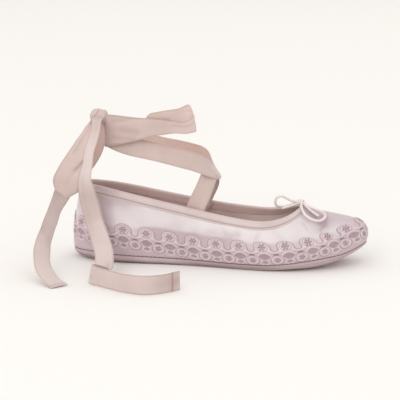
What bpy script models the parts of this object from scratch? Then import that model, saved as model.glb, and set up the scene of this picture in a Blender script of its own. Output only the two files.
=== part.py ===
"""A satin ballet flat with an ankle ribbon tied in a bow, and a small drawstring bow at the throat.

The shoe is worked out in shoemaker's stations: millimetres forward of the back of the heel, to the
lateral side (-Y) or the medial side (+Y), and above the ground. place() turns those into the scene's
frame, in metres, with the origin under the middle of the shoe, the toe at +X and Z up.
"""
import bmesh
import bpy
import numpy as np
from mathutils import Vector

# ---- driving dimensions, in millimetres unless the name says otherwise
MM = 0.001
ORIGIN_STATION = 124.11           # station and side that lie over the frame's origin
ORIGIN_SIDE = -0.28
TOE_TIP_SIDE = 3.0                # the toe points a little to the medial side
UPPER_WALL = 2.0                  # outer satin, lining and stiffening together
BINDING_WIDTH = 8.0
BINDING_WALL = 3.0                # the folded binding with its cord inside
BINDING_PROUD = 0.6
BINDING_ROUNDING = 0.9            # of the binding's edges
ROUNDED_FROM = 50                 # degrees between two faces above which their edge is rounded
SOLE_MIDDLE = 3.4                 # thickness of the outsole inside its edge
SOLE_ROUNDING = 0.42              # part of the way to the middle that the sole's edge turns up over
INSOLE_THICKNESS = 2.0
INSOLE_INSET = 3.2                # from the outline, inside the upper's wall
INSOLE_LIFT = 0.5                 # above the outsole, whose facets it must clear
UPPER_LIFT = 0.5                  # of the upper's lower edge above the feather edge
GAP = 0.3                         # kept between neighbouring pieces
RIBBON_WIDTH = 15.0
RIBBON_THICKNESS = 0.8
CORD_DIAMETER = 2.2
KNOT_SQUARENESS = 0.8             # power of each coordinate: 1 is an ellipsoid, less is a fuller block
KNOT_WAIST = 0.12                 # part of a knot's thickness that its wraps pull in
KNOT_WAIST_SPREAD = 0.3           # of the waist along the knot, in half lengths

# ---- how finely each piece is drawn
LINES = 72                        # girth lines around the shoe
LINE_SAMPLES = 60                 # points up each girth line, before it is cut into rows
CURVE_SAMPLES = 4000              # points around the outline and the topline
TREAD_RINGS = (1.0, 0.7, 0.5, 0.38, 0.28, 0.19, 0.11, 0.04, 0.0)   # parts of the way to the middle line
INSOLE_RINGS = (1.0, 0.55, 0.34, 0.2, 0.08, 0.0)
UPPER_ROWS = 8
BINDING_ROWS = 4
BAND_SAMPLES = 56
RISER_SAMPLES = 9
LOOP_SAMPLES = 34
FRONT_TAIL_SAMPLES = 50
SIDE_TAIL_SAMPLES = 36
CORD_SAMPLES = 34
KNOT_SEGMENTS = 16
KNOT_RINGS = 10
WELD = 0.00002                    # metres, for the ring that closes on the sole's middle line

# ---- the outline at the feather edge, where the upper meets the sole: half widths at each station
PLAN_COLUMNS = ("station", "lateral", "medial")
PLAN = (
    (8, 14.0, 14.0), (20, 22.0, 21.5), (35, 26.0, 25.0), (55, 27.5, 25.5), (80, 27.5, 24.0),
    (105, 29.0, 24.0), (130, 33.0, 28.0), (155, 37.5, 34.0), (175, 39.5, 37.8), (192, 38.6, 38.8),
    (206, 35.2, 36.8), (218, 30.0, 32.4), (228, 24.2, 27.2), (236, 17.8, 21.2), (242, 11.3, 15.2),
)
HEEL_STATION = 1.5
TOE_STATION = 246.5

# ---- heights of the feather edge, the sole's edge thickness and the ground line under the middle
SOLE_COLUMNS = ("station", "feather", "edge", "ground")
SOLE = (
    (0, 8.2, 3.4, 2.6), (6, 8.2, 4.0, 1.4), (17, 8.5, 4.6, 0.3), (35, 7.3, 5.2, 0.0),
    (65, 6.2, 5.0, 0.0), (107, 5.2, 4.6, 0.0), (140, 4.6, 4.0, 0.0), (164, 4.9, 4.0, 0.0),
    (184, 6.6, 4.0, 0.0), (194, 8.0, 4.0, 0.2), (206, 9.6, 3.8, 1.1), (218, 11.2, 3.1, 3.8),
    (228, 12.8, 2.5, 7.2), (236, 15.2, 2.2, 10.4), (243, 17.8, 2.0, 13.4), (250, 20.0, 2.0, 16.0),
)

# ---- the topline: half widths of the opening and its height at each station
TOPLINE_COLUMNS = ("station", "lateral", "medial", "height")
TOPLINE = (
    (12, 8.0, 8.0, 64.0), (22, 12.4, 12.2, 63.0), (40, 17.2, 16.6, 60.2), (65, 21.0, 19.0, 55.4),
    (100, 24.6, 20.6, 48.7), (125, 27.8, 23.8, 44.2), (150, 30.6, 28.0, 40.6), (164, 30.2, 28.8, 39.7),
    (176, 26.8, 26.2, 41.2), (184.5, 20.6, 21.2, 43.8), (190, 11.0, 12.6, 46.2),
)
TOPLINE_BACK = (7.4, 0.0, 64.2)
THROAT = (192.0, 1.2, 46.9)

# ---- each girth line: which angle of the topline it meets, and how it leaves and arrives
FAN_COLUMNS = ("outline_angle", "topline_angle")
FAN = ((0, 0), (40, 41), (61, 68), (79, 90), (97.5, 114), (110, 128.5), (120, 139.5),
       (131.5, 150.5), (141.5, 159), (155, 168), (180, 180))
GIRTH_COLUMNS = ("station", "bulge", "rise", "lean", "reach")
GIRTH = (
    (0, 5, 0.34, 9, 0.34), (15, 9, 0.34, 12, 0.34), (40, 11, 0.34, 14, 0.34), (100, 10, 0.36, 15, 0.34),
    (135, 12, 0.38, 19, 0.34), (160, 15, 0.40, 25, 0.36), (180, 17, 0.40, 35, 0.40),
    (200, 19, 0.38, 50, 0.44), (220, 21, 0.34, 64, 0.47), (235, 24, 0.21, 72, 0.28),
    (247, 13, 0.42, 74, 0.61),
)
MIDDLE_STATIONS = (30.0, 222.0)   # the sole's middle line runs between these
MIDDLE_BLEND = 14.0

# ---- the ankle ribbon: a band around the ankle and a riser from inside each quarter
RIBBON_COLUMNS = ("station", "side", "height", "edge_x", "edge_y", "edge_z")
ANKLE_BAND = (
    (22.5, -2, 110, 0.2, 0.0, 1.0), (29, -15, 107.5, 0.2, 0.15, 1.0), (46, -23.5, 100, 0.2, 0.1, 1.0),
    (71.5, -28, 95, 0.2, 0.05, 1.0), (96, -26, 89, 0.2, 0.1, 1.0), (112, -17, 82.5, -0.05, 0.2, 1.0),
    (121.5, 0, 74.8, -0.6, 0.0, 0.85), (114.5, 14, 81.5, -0.2, -0.2, 1.0), (97, 24, 87, 0.1, -0.15, 1.0),
    (71, 27, 91, 0.15, -0.1, 1.0), (46, 22.5, 98, 0.2, -0.1, 1.0), (27.5, 11, 106, 0.2, -0.1, 1.0),
)
LATERAL_RISER = (
    (101.5, -24.8, 31, 1.0, -0.10, -0.20), (106.0, -21.5, 43, 1.0, -0.1, -0.30),
    (109.5, -20.6, 52, 1.0, 0.1, -0.35), (113.5, -18.6, 61, 0.95, 0.3, -0.40),
    (118.6, -10.6, 75.6, 0.75, 0.6, -0.45),
)
MEDIAL_RISER = (
    (102, 20.6, 31, 1.0, 0.10, -0.20), (106.8, 17.4, 43, 1.0, 0.1, -0.30),
    (110.6, 17.4, 52, 1.0, -0.1, -0.35), (115, 15.4, 61, 0.95, -0.3, -0.40),
    (119.4, 8.2, 75.4, 0.75, -0.6, -0.45),
)

# ---- the bow's knot, loops and tails; the loops' edge vectors are longer where the ribbon spreads
KNOT_CENTRE = (27.0, -21.0, 121.4)
KNOT_SIZE = (14.0, 11.5, 13.0)
WING_LOOP = (
    (35.6, -24.6, 109.6, 0, 0, 1.56), (40.3, -26.5, 110.4, -0.05, 0.07, 1.56),
    (51, -30.5, 112, -0.08, 0.2, 1.4), (62, -33, 113.4, -0.09, 0.27, 1.2),
    (73, -34.5, 115.1, -0.13, 0.47, 0.93), (83, -35.5, 115.8, -0.15, 0.6, 0.72),
    (93, -36, 115.6, -0.15, 0.67, 0.55), (102.6, -35.4, 115.3, -0.2, 0.6, 0.52),
    (108.4, -32.8, 118.4, -0.25, 0.4, 0.72), (105.2, -29.6, 123.8, -0.16, 0.2, 1.19),
    (95, -28.6, 122.2, -0.06, 0.08, 1.05), (84, -28.5, 121, -0.06, 0.07, 0.95),
    (72, -28.2, 118.4, -0.05, 0.03, 0.95), (55, -26.4, 115.8, -0.05, 0.07, 1),
    (39.4, -22.6, 116.2, 0, 0, 1.05),
)
HEEL_LOOP = (
    (23.4, -28.4, 114.6, 0.4, 0, -0.1), (22.2, -32, 111, 0.6, 0, -0.05),
    (17.7, -36.2, 101.5, 0.95, -0.07, -0.03), (12.4, -38.3, 90.7, 1.25, -0.03, 0.03),
    (7.6, -39.8, 80.2, 1.46, 0, 0.03), (4.4, -40.8, 70.6, 1.52, 0, -0.02),
    (4.2, -38.8, 62.6, 1.3, 0, -0.08), (4.6, -35, 63.3, 1.25, 0, -0.08),
    (9, -31.6, 73.5, 1.2, 0.07, -0.21), (17.0, -29.6, 84.5, 1.2, 0.07, -0.26),
    (23.6, -28.2, 96, 1.1, 0.13, -0.28), (26.8, -26.6, 107, 0.86, 0.1, -0.26),
    (27, -24, 113.2, 0.7, 0.07, -0.14),
)
FRONT_TAIL = (
    (30.4, -36.4, 115.6, 0.6, -0.8, 0.0), (29.6, -42.0, 108.5, 0.8, -0.6, 0.1),
    (25.2, -44.2, 98.5, 0.8, -0.6, 0.1), (23.4, -47.6, 85.3, 0.7, -0.7, 0.05),
    (21.8, -47.4, 76.3, 0.76, -0.64, 0.05), (21.6, -43.4, 64.0, 1.0, -0.2, 0.1),
    (23.6, -38.6, 49, 1.0, 0.0, 0.25), (26.8, -38.6, 36, 1.0, 0.0, 0.3),
    (32.0, -46.0, 26.5, 0.97, 0.0, 0.3), (37.2, -58.0, 21.0, 0.97, 0.0, 0.22),
    (41.0, -70.0, 14.6, 0.97, 0.0, 0.15), (42.0, -81.5, 8.2, 0.97, 0.0, 0.08),
    (39.0, -88.6, 8.0, 0.72, 0.1, 0.66), (35.0, -94.8, 8.4, 0.2, 0.1, 0.97),
    (38.6, -101.4, 8.6, 0.15, 0.0, 0.98), (54, -112.0, 7.9, 0.0, 0.0, 1.0),
    (70, -122.0, 7.9, 0.0, 0.0, 1.0), (84, -124.5, 7.9, 0.0, 0.0, 1.0),
    (97, -118.0, 7.9, 0.0, 0.0, 1.0), (107, -105.5, 7.9, 0.0, 0.0, 1.0),
)
SIDE_TAIL = (
    (23.0, -20.8, 111.5, 0.82, -0.1, -0.55), (18.0, -21.5, 99, 0.84, 0.0, -0.52),
    (10.0, -23.0, 84, 0.86, 0.0, -0.48), (3.0, -24.5, 70, 0.85, 0.1, -0.45),
    (-3.0, -26.5, 57, 0.75, 0.5, -0.4), (-7.6, -31.5, 46, 0.55, 0.8, -0.3),
    (-10.0, -41.0, 35.5, 0.44, 0.88, -0.2), (-11.0, -53.0, 27, 0.38, 0.92, -0.1),
    (-10.4, -66.0, 20.0, 0.38, 0.92, 0.0), (-7.4, -80.0, 13.4, 0.45, 0.88, 0.0),
    (-1.8, -92.5, 7.6, 0.58, 0.81, 0.0), (6.4, -103.4, 3.4, 0.68, 0.73, 0.0),
    (13.8, -110.6, 1.4, 0.72, 0.69, 0.0),
)

# ---- the throat bow: a thin cord knotted on the binding, one loop standing, one lying on the vamp
CORD_KNOT_CENTRE = (192.6, 0.6, 50.2)
CORD_KNOT_SIZE = (5.6, 6.4, 4.2)
CORD_COLUMNS = ("station", "side", "height")
STANDING_LOOP = (
    (188.6, -0.4, 50.2), (184, -2.2, 52), (180, -4.2, 54.6), (176.4, -6, 56.2), (173.2, -7, 55.1),
    (171.8, -7, 51.8), (172.4, -6.2, 48.6), (175.2, -4.6, 47.2), (179.6, -2.6, 47), (184.4, -0.4, 48),
    (188.4, 1.6, 49.6),
)
LYING_LOOP = (
    (193.6, -3.6, 50.4), (193.4, -8.8, 48.8), (194.9, -15.4, 46.2), (198.9, -20.6, 42.6),
    (203.7, -22.2, 40.4), (208.5, -21.4, 39.5), (212.4, -17.6, 40.6), (213.2, -13.2, 42.4),
    (210.9, -9.6, 44.2), (204.6, -6.8, 46.2), (198.4, -4.4, 48.2), (196.4, -1.4, 49.8),
)

# ---- surface colours and finishes: linear red, green, blue, and roughness
FINISHES = {
    "satin": ((0.76, 0.67, 0.68), 0.38),
    "relief": ((0.60, 0.44, 0.47), 0.45),
    "sole": ((0.40, 0.30, 0.30), 0.70),
    "insole": ((0.60, 0.46, 0.42), 0.60),
    "binding": ((0.68, 0.55, 0.53), 0.42),
    "ribbon": ((0.66, 0.50, 0.46), 0.40),
    "cord": ((0.62, 0.50, 0.49), 0.45),
}


def column(rows, names, name):
    """One named column of a table, as an array."""
    return np.array([row[names.index(name)] for row in rows], float)


def smooth(x, knots, values):
    """A cubic through the knots whose slopes never overshoot them."""
    steps = np.diff(knots)
    rises = np.diff(values) / steps
    same_sign = rises[:-1] * rises[1:] > 0
    harmonic = 2 * rises[:-1] * rises[1:] / np.where(same_sign, rises[:-1] + rises[1:], 1.0)
    slopes = np.concatenate([[rises[0]], np.where(same_sign, harmonic, 0.0), [rises[-1]]])
    x = np.clip(x, knots[0], knots[-1])
    i = np.clip(np.searchsorted(knots, x, side="right") - 1, 0, len(steps) - 1)
    t = (x - knots[i]) / steps[i]
    ends = values[i] * (1 + 2 * t) * (1 - t) ** 2 + values[i + 1] * (3 - 2 * t) * t ** 2
    turns = slopes[i] * t * (1 - t) ** 2 - slopes[i + 1] * (1 - t) * t ** 2
    return ends + steps[i] * turns


def read(table, columns, name, at):
    """The value of a table's named column at any place along its first column."""
    return smooth(at, column(table, columns, columns[0]), column(table, columns, name))


def closed_spline(points, count):
    """A closed smooth curve through the points, sampled evenly along their chords."""
    points = np.asarray(points, float)
    size = len(points)
    chords = np.linalg.norm(np.roll(points, -1, 0) - points, axis=1)
    matrix = np.zeros((size, size))
    turn = np.zeros_like(points)
    for i in range(size):
        before, after, following = chords[i - 1], chords[i], (i + 1) % size
        matrix[i, i - 1] += before
        matrix[i, i] += 2 * (before + after)
        matrix[i, following] += after
        turn[i] = 6 * ((points[following] - points[i]) / after - (points[i] - points[i - 1]) / before)
    bend = np.linalg.solve(matrix, turn)
    starts = np.concatenate([[0.0], np.cumsum(chords)])
    at = np.linspace(0.0, starts[-1], count, endpoint=False)
    i = np.clip(np.searchsorted(starts, at, side="right") - 1, 0, size - 1)
    j = (i + 1) % size
    left, right, span = (starts[i + 1] - at)[:, None], (at - starts[i])[:, None], chords[i][:, None]
    curve = (bend[i] * left ** 3 + bend[j] * right ** 3) / (6 * span)
    curve += (points[i] / span - bend[i] * span / 6) * left
    return curve + (points[j] / span - bend[j] * span / 6) * right


def open_spline(points, count):
    """A smooth curve through the points from first to last, evenly spaced along its length."""
    points = np.asarray(points, float)
    lengths = np.concatenate([[0.0], np.cumsum(np.linalg.norm(np.diff(points[:, :3], axis=0), axis=1))])
    tangents = np.gradient(points, lengths, axis=0)
    at = np.linspace(0.0, lengths[-1], count)
    i = np.clip(np.searchsorted(lengths, at, side="right") - 1, 0, len(points) - 2)
    span = (lengths[i + 1] - lengths[i])[:, None]
    t = (at - lengths[i])[:, None] / span
    ends = points[i] * (1 + 2 * t) * (1 - t) ** 2 + points[i + 1] * (3 - 2 * t) * t ** 2
    return ends + span * (tangents[i] * t * (1 - t) ** 2 - tangents[i + 1] * (1 - t) * t ** 2)


def around(curve, angles):
    """Points of a closed curve by angle: 0 at the heel, 180 at the toe, the lateral side first."""
    heel, toe = int(np.argmin(curve[:, 0])), int(np.argmax(curve[:, 0]))
    lateral = np.roll(curve, -heel, 0)[: (toe - heel) % len(curve) + 1]
    medial = np.roll(curve, -toe, 0)[: (heel - toe) % len(curve) + 1][::-1]
    low, high = curve[heel, 0], curve[toe, 0]
    stations = (low + high) / 2 - (high - low) / 2 * np.cos(np.radians(angles))
    sides = []
    for half in (lateral, medial):
        sides.append(np.stack([np.interp(stations, half[:, 0], values) for values in half.T], 1))
    return np.where((np.asarray(angles) <= 180)[:, None], sides[0], sides[1])


def outline(angles):
    """The feather edge at each angle, as station and side."""
    lateral = [(x, -left) for x, left, _ in PLAN]
    medial = [(x, right) for x, _, right in PLAN[::-1]]
    points = [(HEEL_STATION, 0.0)] + lateral + [(TOE_STATION, TOE_TIP_SIDE)] + medial
    return around(closed_spline(points, CURVE_SAMPLES), angles)


def topline(angles):
    """The edge of the opening at each angle, as station, side and height."""
    lateral = [(x, -left, z) for x, left, _, z in TOPLINE]
    medial = [(x, right, z) for x, _, right, z in TOPLINE[::-1]]
    return around(closed_spline([TOPLINE_BACK] + lateral + [THROAT] + medial, CURVE_SAMPLES), angles)


def plan_normals(points):
    """Unit vectors that point out of a ring of points, in plan."""
    along = np.roll(points, -1, 0)[:, :2] - np.roll(points, 1, 0)[:, :2]
    out = np.stack([along[:, 1], -along[:, 0]], 1)
    return out / np.linalg.norm(out, axis=1)[:, None]


def line_angles(lines):
    return np.arange(lines) * 360.0 / lines


def girth_lines(lines, samples):
    """Cubic lines from the feather edge up to the topline, one at each angle around the shoe."""
    angles = line_angles(lines)
    half = np.where(angles <= 180, angles, 360 - angles)
    met = read(FAN, FAN_COLUMNS, "topline_angle", half)
    met = np.where(angles <= 180, met, 360 - met)
    plan, top = outline(angles), topline(met)
    station = plan[:, 0]
    foot = np.column_stack([plan, read(SOLE, SOLE_COLUMNS, "feather", station)])
    bulge, lean = (np.radians(read(GIRTH, GIRTH_COLUMNS, name, station)) for name in ("bulge", "lean"))
    rise, reach = (read(GIRTH, GIRTH_COLUMNS, name, station) for name in ("rise", "reach"))
    span = np.linalg.norm(top - foot, axis=1)[:, None]
    outward, over = plan_normals(foot), plan_normals(top)
    leave = np.column_stack([outward * np.sin(bulge)[:, None], np.cos(bulge)])
    arrive = np.column_stack([-over * np.sin(lean)[:, None], np.cos(lean)])
    edge = np.roll(top, -1, 0) - np.roll(top, 1, 0)
    edge /= np.linalg.norm(edge, axis=1)[:, None]
    arrive -= edge * (arrive * edge).sum(1)[:, None]
    arrive /= np.linalg.norm(arrive, axis=1)[:, None]
    low = foot + leave * rise[:, None] * span
    high = top - arrive * reach[:, None] * span
    t = np.linspace(0.0, 1.0, samples)[None, :, None]
    foot, low, high, top = (points[:, None, :] for points in (foot, low, high, top))
    return foot * (1 - t) ** 3 + 3 * low * t * (1 - t) ** 2 + 3 * high * t ** 2 * (1 - t) + top * t ** 3


def rings_up(lines, low, high, count):
    """Rings around the shoe at even steps from low to high, each a function of a girth line's length."""
    rings = np.zeros((count, len(lines), 3))
    for k, line in enumerate(lines):
        along = np.concatenate([[0.0], np.cumsum(np.linalg.norm(np.diff(line, axis=0), axis=1))])
        at = np.linspace(low(along[-1]), high(along[-1]), count)
        rings[:, k] = np.stack([np.interp(at, along, line[:, axis]) for axis in range(3)], 1)
    return rings


def middle_line(station):
    """The sole's middle line abreast of each station, drawn in from the heel and the toe."""
    first, last = MIDDLE_STATIONS
    drawn = 0.5 * (station + last - np.hypot(station - last, MIDDLE_BLEND))
    drawn = 0.5 * (drawn + first + np.hypot(drawn - first, MIDDLE_BLEND))
    side = (read(PLAN, PLAN_COLUMNS, "medial", drawn) - read(PLAN, PLAN_COLUMNS, "lateral", drawn)) / 2
    return np.column_stack([drawn, side])


def sole_point(angles, part_way, raise_by):
    """A ring of the sole, part of the way to its middle line and raised above its underside."""
    plan = outline(angles)
    drawn_in = plan + (middle_line(plan[:, 0]) - plan) * np.asarray(part_way)[..., None]
    feather, edge, ground = (read(SOLE, SOLE_COLUMNS, name, plan[:, 0]) for name in SOLE_COLUMNS[1:])
    turned = np.clip(1 - part_way / SOLE_ROUNDING, 0.0, 1.0) ** 2
    under = read(SOLE, SOLE_COLUMNS, "ground", drawn_in[:, 0]) + (feather - edge - ground) * turned
    return np.column_stack([drawn_in, under + raise_by])


def sole_thickness(angles, part_way):
    """The outsole's thickness: its edge's at the outline, and its middle's inside the rounding."""
    edge = read(SOLE, SOLE_COLUMNS, "edge", outline(angles)[:, 0])
    inside = np.clip(part_way / SOLE_ROUNDING, 0.0, 1.0)
    return edge + (SOLE_MIDDLE - edge) * inside


def place(points):
    """Stations in millimetres to the scene's frame in metres."""
    return (np.asarray(points, float)[..., :3] - (ORIGIN_STATION, ORIGIN_SIDE, 0.0)) * MM


def material_of(name):
    """The Principled material of a finish, made once."""
    if name in bpy.data.materials:
        return bpy.data.materials[name]
    colour, roughness = FINISHES[name]
    material = bpy.data.materials.new(name)
    material.use_nodes = True
    shader = material.node_tree.nodes["Principled BSDF"]
    shader.inputs["Base Color"].default_value = (*colour, 1.0)
    shader.inputs["Roughness"].default_value = roughness
    shader.inputs["Metallic"].default_value = 0.0
    return material


def add_object(name, shape, finish, collection):
    """A new object that holds a bmesh's faces, shaded smooth."""
    mesh = bpy.data.meshes.new(name)
    shape.to_mesh(mesh)
    shape.free()
    mesh.shade_smooth()
    mesh.materials.append(material_of(finish))
    made = bpy.data.objects.new(name, mesh)
    collection.objects.link(made)
    return made


def bridge_rings(rings, closed):
    """A bmesh of quads between rings of equal count; closed rings join their last point to their first."""
    shape = bmesh.new()
    rows = [[shape.verts.new(Vector(point)) for point in place(ring)] for ring in rings]
    for lower, upper in zip(rows, rows[1:]):
        count = len(lower)
        for k in range(count if closed else count - 1):
            following = (k + 1) % count
            shape.faces.new((lower[k], lower[following], upper[following], upper[k]))
    return shape


def thicken(made, thickness, offset, edge_width=0.0):
    """Solidify an open surface, in millimetres, and round its edges where a width is given."""
    wall = made.modifiers.new("wall", "SOLIDIFY")
    wall.thickness = thickness * MM
    wall.offset = offset
    wall.use_even_offset = True
    wall.use_quality_normals = True
    if edge_width:
        edges = made.modifiers.new("edges", "BEVEL")
        edges.width = edge_width * MM
        edges.segments = 1
        edges.limit_method = "ANGLE"
        edges.angle_limit = np.radians(ROUNDED_FROM)
    return made


def make_outsole(collection):
    """The thin outsole, turned up at its edge, the toe and the heel, from its underside to its top."""
    angles = line_angles(LINES)
    under = [sole_point(angles, part, 0.0) for part in TREAD_RINGS]
    over = [sole_point(angles, part, sole_thickness(angles, part)) for part in TREAD_RINGS[::-1]]
    shape = bridge_rings(under + over, closed=True)
    bmesh.ops.remove_doubles(shape, verts=shape.verts, dist=WELD)
    return add_object("outsole", shape, "sole", collection)


def make_insole(collection):
    """The footbed, lying on the outsole inside the upper."""
    angles = line_angles(LINES)
    plan = outline(angles)
    edge = INSOLE_INSET / np.linalg.norm(middle_line(plan[:, 0]) - plan, axis=1)
    parts = [edge + (1 - edge) * inward for inward in INSOLE_RINGS]
    under = [sole_point(angles, part, sole_thickness(angles, part) + INSOLE_LIFT) for part in parts]
    over = [ring + (0.0, 0.0, INSOLE_THICKNESS) for ring in under[::-1]]
    shape = bridge_rings(under + over, closed=True)
    bmesh.ops.remove_doubles(shape, verts=shape.verts, dist=WELD)
    return add_object("insole", shape, "insole", collection)


def make_upper(lines, collection):
    """The hollow upper, open at the topline and underneath, with its wall inside the girth lines."""
    under_binding = BINDING_WIDTH + GAP
    rings = rings_up(lines, lambda length: UPPER_LIFT, lambda length: length - under_binding, UPPER_ROWS)
    made = add_object("upper", bridge_rings(rings, closed=True), "satin", collection)
    return thicken(made, UPPER_WALL, -1.0)


def make_binding(lines, collection):
    """The folded binding around the opening, standing proud of the upper on both faces."""
    rings = rings_up(lines, lambda length: length - BINDING_WIDTH, lambda length: length, BINDING_ROWS)
    made = add_object("topline_binding", bridge_rings(rings, closed=True), "binding", collection)
    return thicken(made, BINDING_WALL, 2 * BINDING_PROUD / BINDING_WALL - 1, BINDING_ROUNDING)


def ribbon_edges(rows, count, closed, square):
    """The two edges of a ribbon that follows its rows, its width along each row's edge vector.

    An edge vector of 1 is half the ribbon's width. Square turns each one square to the ribbon's path.
    """
    curve = closed_spline(rows, count) if closed else open_spline(rows, count)
    middle, across = curve[:, :3], curve[:, 3:]
    along = np.roll(middle, -1, 0) - np.roll(middle, 1, 0) if closed else np.gradient(middle, axis=0)
    along /= np.linalg.norm(along, axis=1)[:, None]
    if square:
        across = across - along * (across * along).sum(1)[:, None]
        across /= np.linalg.norm(across, axis=1)[:, None]
    across = across * RIBBON_WIDTH / 2
    return middle - across, middle + across


def make_ribbon(name, rows, count, collection, closed=False, square=True):
    """A flat ribbon as a solid strip."""
    low, high = ribbon_edges(rows, count, closed, square)
    shape = bridge_rings([low, (low + high) / 2, high], closed)
    return thicken(add_object(name, shape, "ribbon", collection), RIBBON_THICKNESS, 0.0)


def make_ankle_ribbon(collection, cutters):
    """The band around the ankle and its two risers, joined into one piece where they cross in front."""
    band = make_ribbon("ankle_ribbon", ANKLE_BAND, BAND_SAMPLES, collection, closed=True)
    for name, rows in (("lateral_riser", LATERAL_RISER), ("medial_riser", MEDIAL_RISER)):
        riser = make_ribbon(name, rows, RISER_SAMPLES, cutters)
        riser.hide_render = True
        riser.display_type = "WIRE"
        join = band.modifiers.new(name, "BOOLEAN")
        join.operation = "UNION"
        join.object = riser
    return band


def make_knot(name, centre, size, finish, collection):
    """A small soft knot: a rounded block with a waist where the wraps pull it in."""
    shape = bmesh.new()
    bmesh.ops.create_uvsphere(shape, u_segments=KNOT_SEGMENTS, v_segments=KNOT_RINGS, radius=0.5)
    for vertex in shape.verts:
        x, y, z = vertex.co * 2
        full = np.array([np.sign(value) * abs(value) ** KNOT_SQUARENESS for value in (x, y, z)])
        waist = 1 - KNOT_WAIST * np.exp(-(x / KNOT_WAIST_SPREAD) ** 2)
        local = full * (1.0, waist, waist) * np.array(size) / 2
        vertex.co = Vector(place(np.array(centre) + local))
    return add_object(name, shape, finish, collection)


def make_cord_bow(name, rows, collection):
    """One loop of the drawstring bow: a round cord along its route."""
    route = place(open_spline(rows, CORD_SAMPLES))
    curve = bpy.data.curves.new(name, "CURVE")
    curve.dimensions = "3D"
    curve.bevel_depth = CORD_DIAMETER / 2 * MM
    curve.bevel_resolution = 1
    curve.use_fill_caps = True
    spline = curve.splines.new("POLY")
    spline.points.add(len(route) - 1)
    for point, position in zip(spline.points, route):
        point.co = (*position, 1.0)
    curve.materials.append(material_of("cord"))
    made = bpy.data.objects.new(name, curve)
    collection.objects.link(made)
    return made


def main():
    for old in list(bpy.data.objects):
        bpy.data.objects.remove(old, do_unlink=True)
    shoe = bpy.data.collections.new("ballet_flat")
    cutters = bpy.data.collections.new("cutters")
    for collection in (shoe, cutters):
        bpy.context.scene.collection.children.link(collection)
    lines = girth_lines(LINES, LINE_SAMPLES)
    make_outsole(shoe)
    make_insole(shoe)
    make_upper(lines, shoe)
    make_binding(lines, shoe)
    make_ankle_ribbon(shoe, cutters)
    make_knot("ribbon_knot", KNOT_CENTRE, KNOT_SIZE, "ribbon", shoe)
    make_ribbon("ribbon_wing_loop", WING_LOOP, LOOP_SAMPLES, shoe, square=False)
    make_ribbon("ribbon_heel_loop", HEEL_LOOP, LOOP_SAMPLES, shoe, square=False)
    make_ribbon("ribbon_front_tail", FRONT_TAIL, FRONT_TAIL_SAMPLES, shoe)
    make_ribbon("ribbon_side_tail", SIDE_TAIL, SIDE_TAIL_SAMPLES, shoe)
    make_knot("throat_knot", CORD_KNOT_CENTRE, CORD_KNOT_SIZE, "cord", shoe)
    make_cord_bow("throat_standing_loop", STANDING_LOOP, shoe)
    make_cord_bow("throat_lying_loop", LYING_LOOP, shoe)


if __name__ == "__main__":
    main()
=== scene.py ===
"""A satin ballet flat: a relief rim around the upper, a drawstring bow, and a ribbon bow at the ankle.

The shoe is worked out in shoemaker's stations: millimetres forward of the back of the heel, to the
lateral side (-Y) or the medial side (+Y), and above the ground. place() turns those into the frame.
"""
import functools
import math

import bmesh
import bpy
import numpy as np
from mathutils import Matrix, Vector


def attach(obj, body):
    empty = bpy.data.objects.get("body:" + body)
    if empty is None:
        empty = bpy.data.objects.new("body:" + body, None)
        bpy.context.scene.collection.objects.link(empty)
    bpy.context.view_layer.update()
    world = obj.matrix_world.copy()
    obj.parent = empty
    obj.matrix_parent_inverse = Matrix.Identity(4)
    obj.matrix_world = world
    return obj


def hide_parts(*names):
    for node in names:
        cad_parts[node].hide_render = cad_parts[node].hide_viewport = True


bl_info = {
    "name": "Ballet flat with an ankle ribbon",
    "version": (1, 0, 0),
    "blender": (4, 5, 0),
    "location": "3D View > Sidebar > Ballet flat",
    "description": "Builds a satin ballet flat with a relief rim, a drawstring bow and a ribbon bow",
    "category": "Add Mesh",
}

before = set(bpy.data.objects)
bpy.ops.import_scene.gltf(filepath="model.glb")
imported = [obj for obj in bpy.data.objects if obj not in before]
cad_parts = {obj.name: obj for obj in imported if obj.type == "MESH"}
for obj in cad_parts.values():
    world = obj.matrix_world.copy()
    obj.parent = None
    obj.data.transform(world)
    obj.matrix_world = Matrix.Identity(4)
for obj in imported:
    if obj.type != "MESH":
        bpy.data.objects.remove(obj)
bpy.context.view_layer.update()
BODY = "root"
MM = 0.001
ORIGIN = (124.11, -0.28, 0.0)     # station, side and height over the frame's origin, in millimetres
CURVE_SAMPLES = 4000
LINE_SAMPLES = 60

# ---- the outline at the feather edge, where the upper meets the sole: half widths at each station
PLAN_COLUMNS = ("station", "lateral", "medial")
PLAN = (
    (8, 14.0, 14.0), (20, 22.0, 21.5), (35, 26.0, 25.0), (55, 27.5, 25.5), (80, 27.5, 24.0),
    (105, 29.0, 24.0), (130, 33.0, 28.0), (155, 37.5, 34.0), (175, 39.5, 37.8), (192, 38.6, 38.8),
    (206, 35.2, 36.8), (218, 30.0, 32.4), (228, 24.2, 27.2), (236, 17.8, 21.2), (242, 11.3, 15.2),
)
HEEL_STATION = 1.5
TOE_STATION = 246.5
TOE_TIP_SIDE = 3.0

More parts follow.
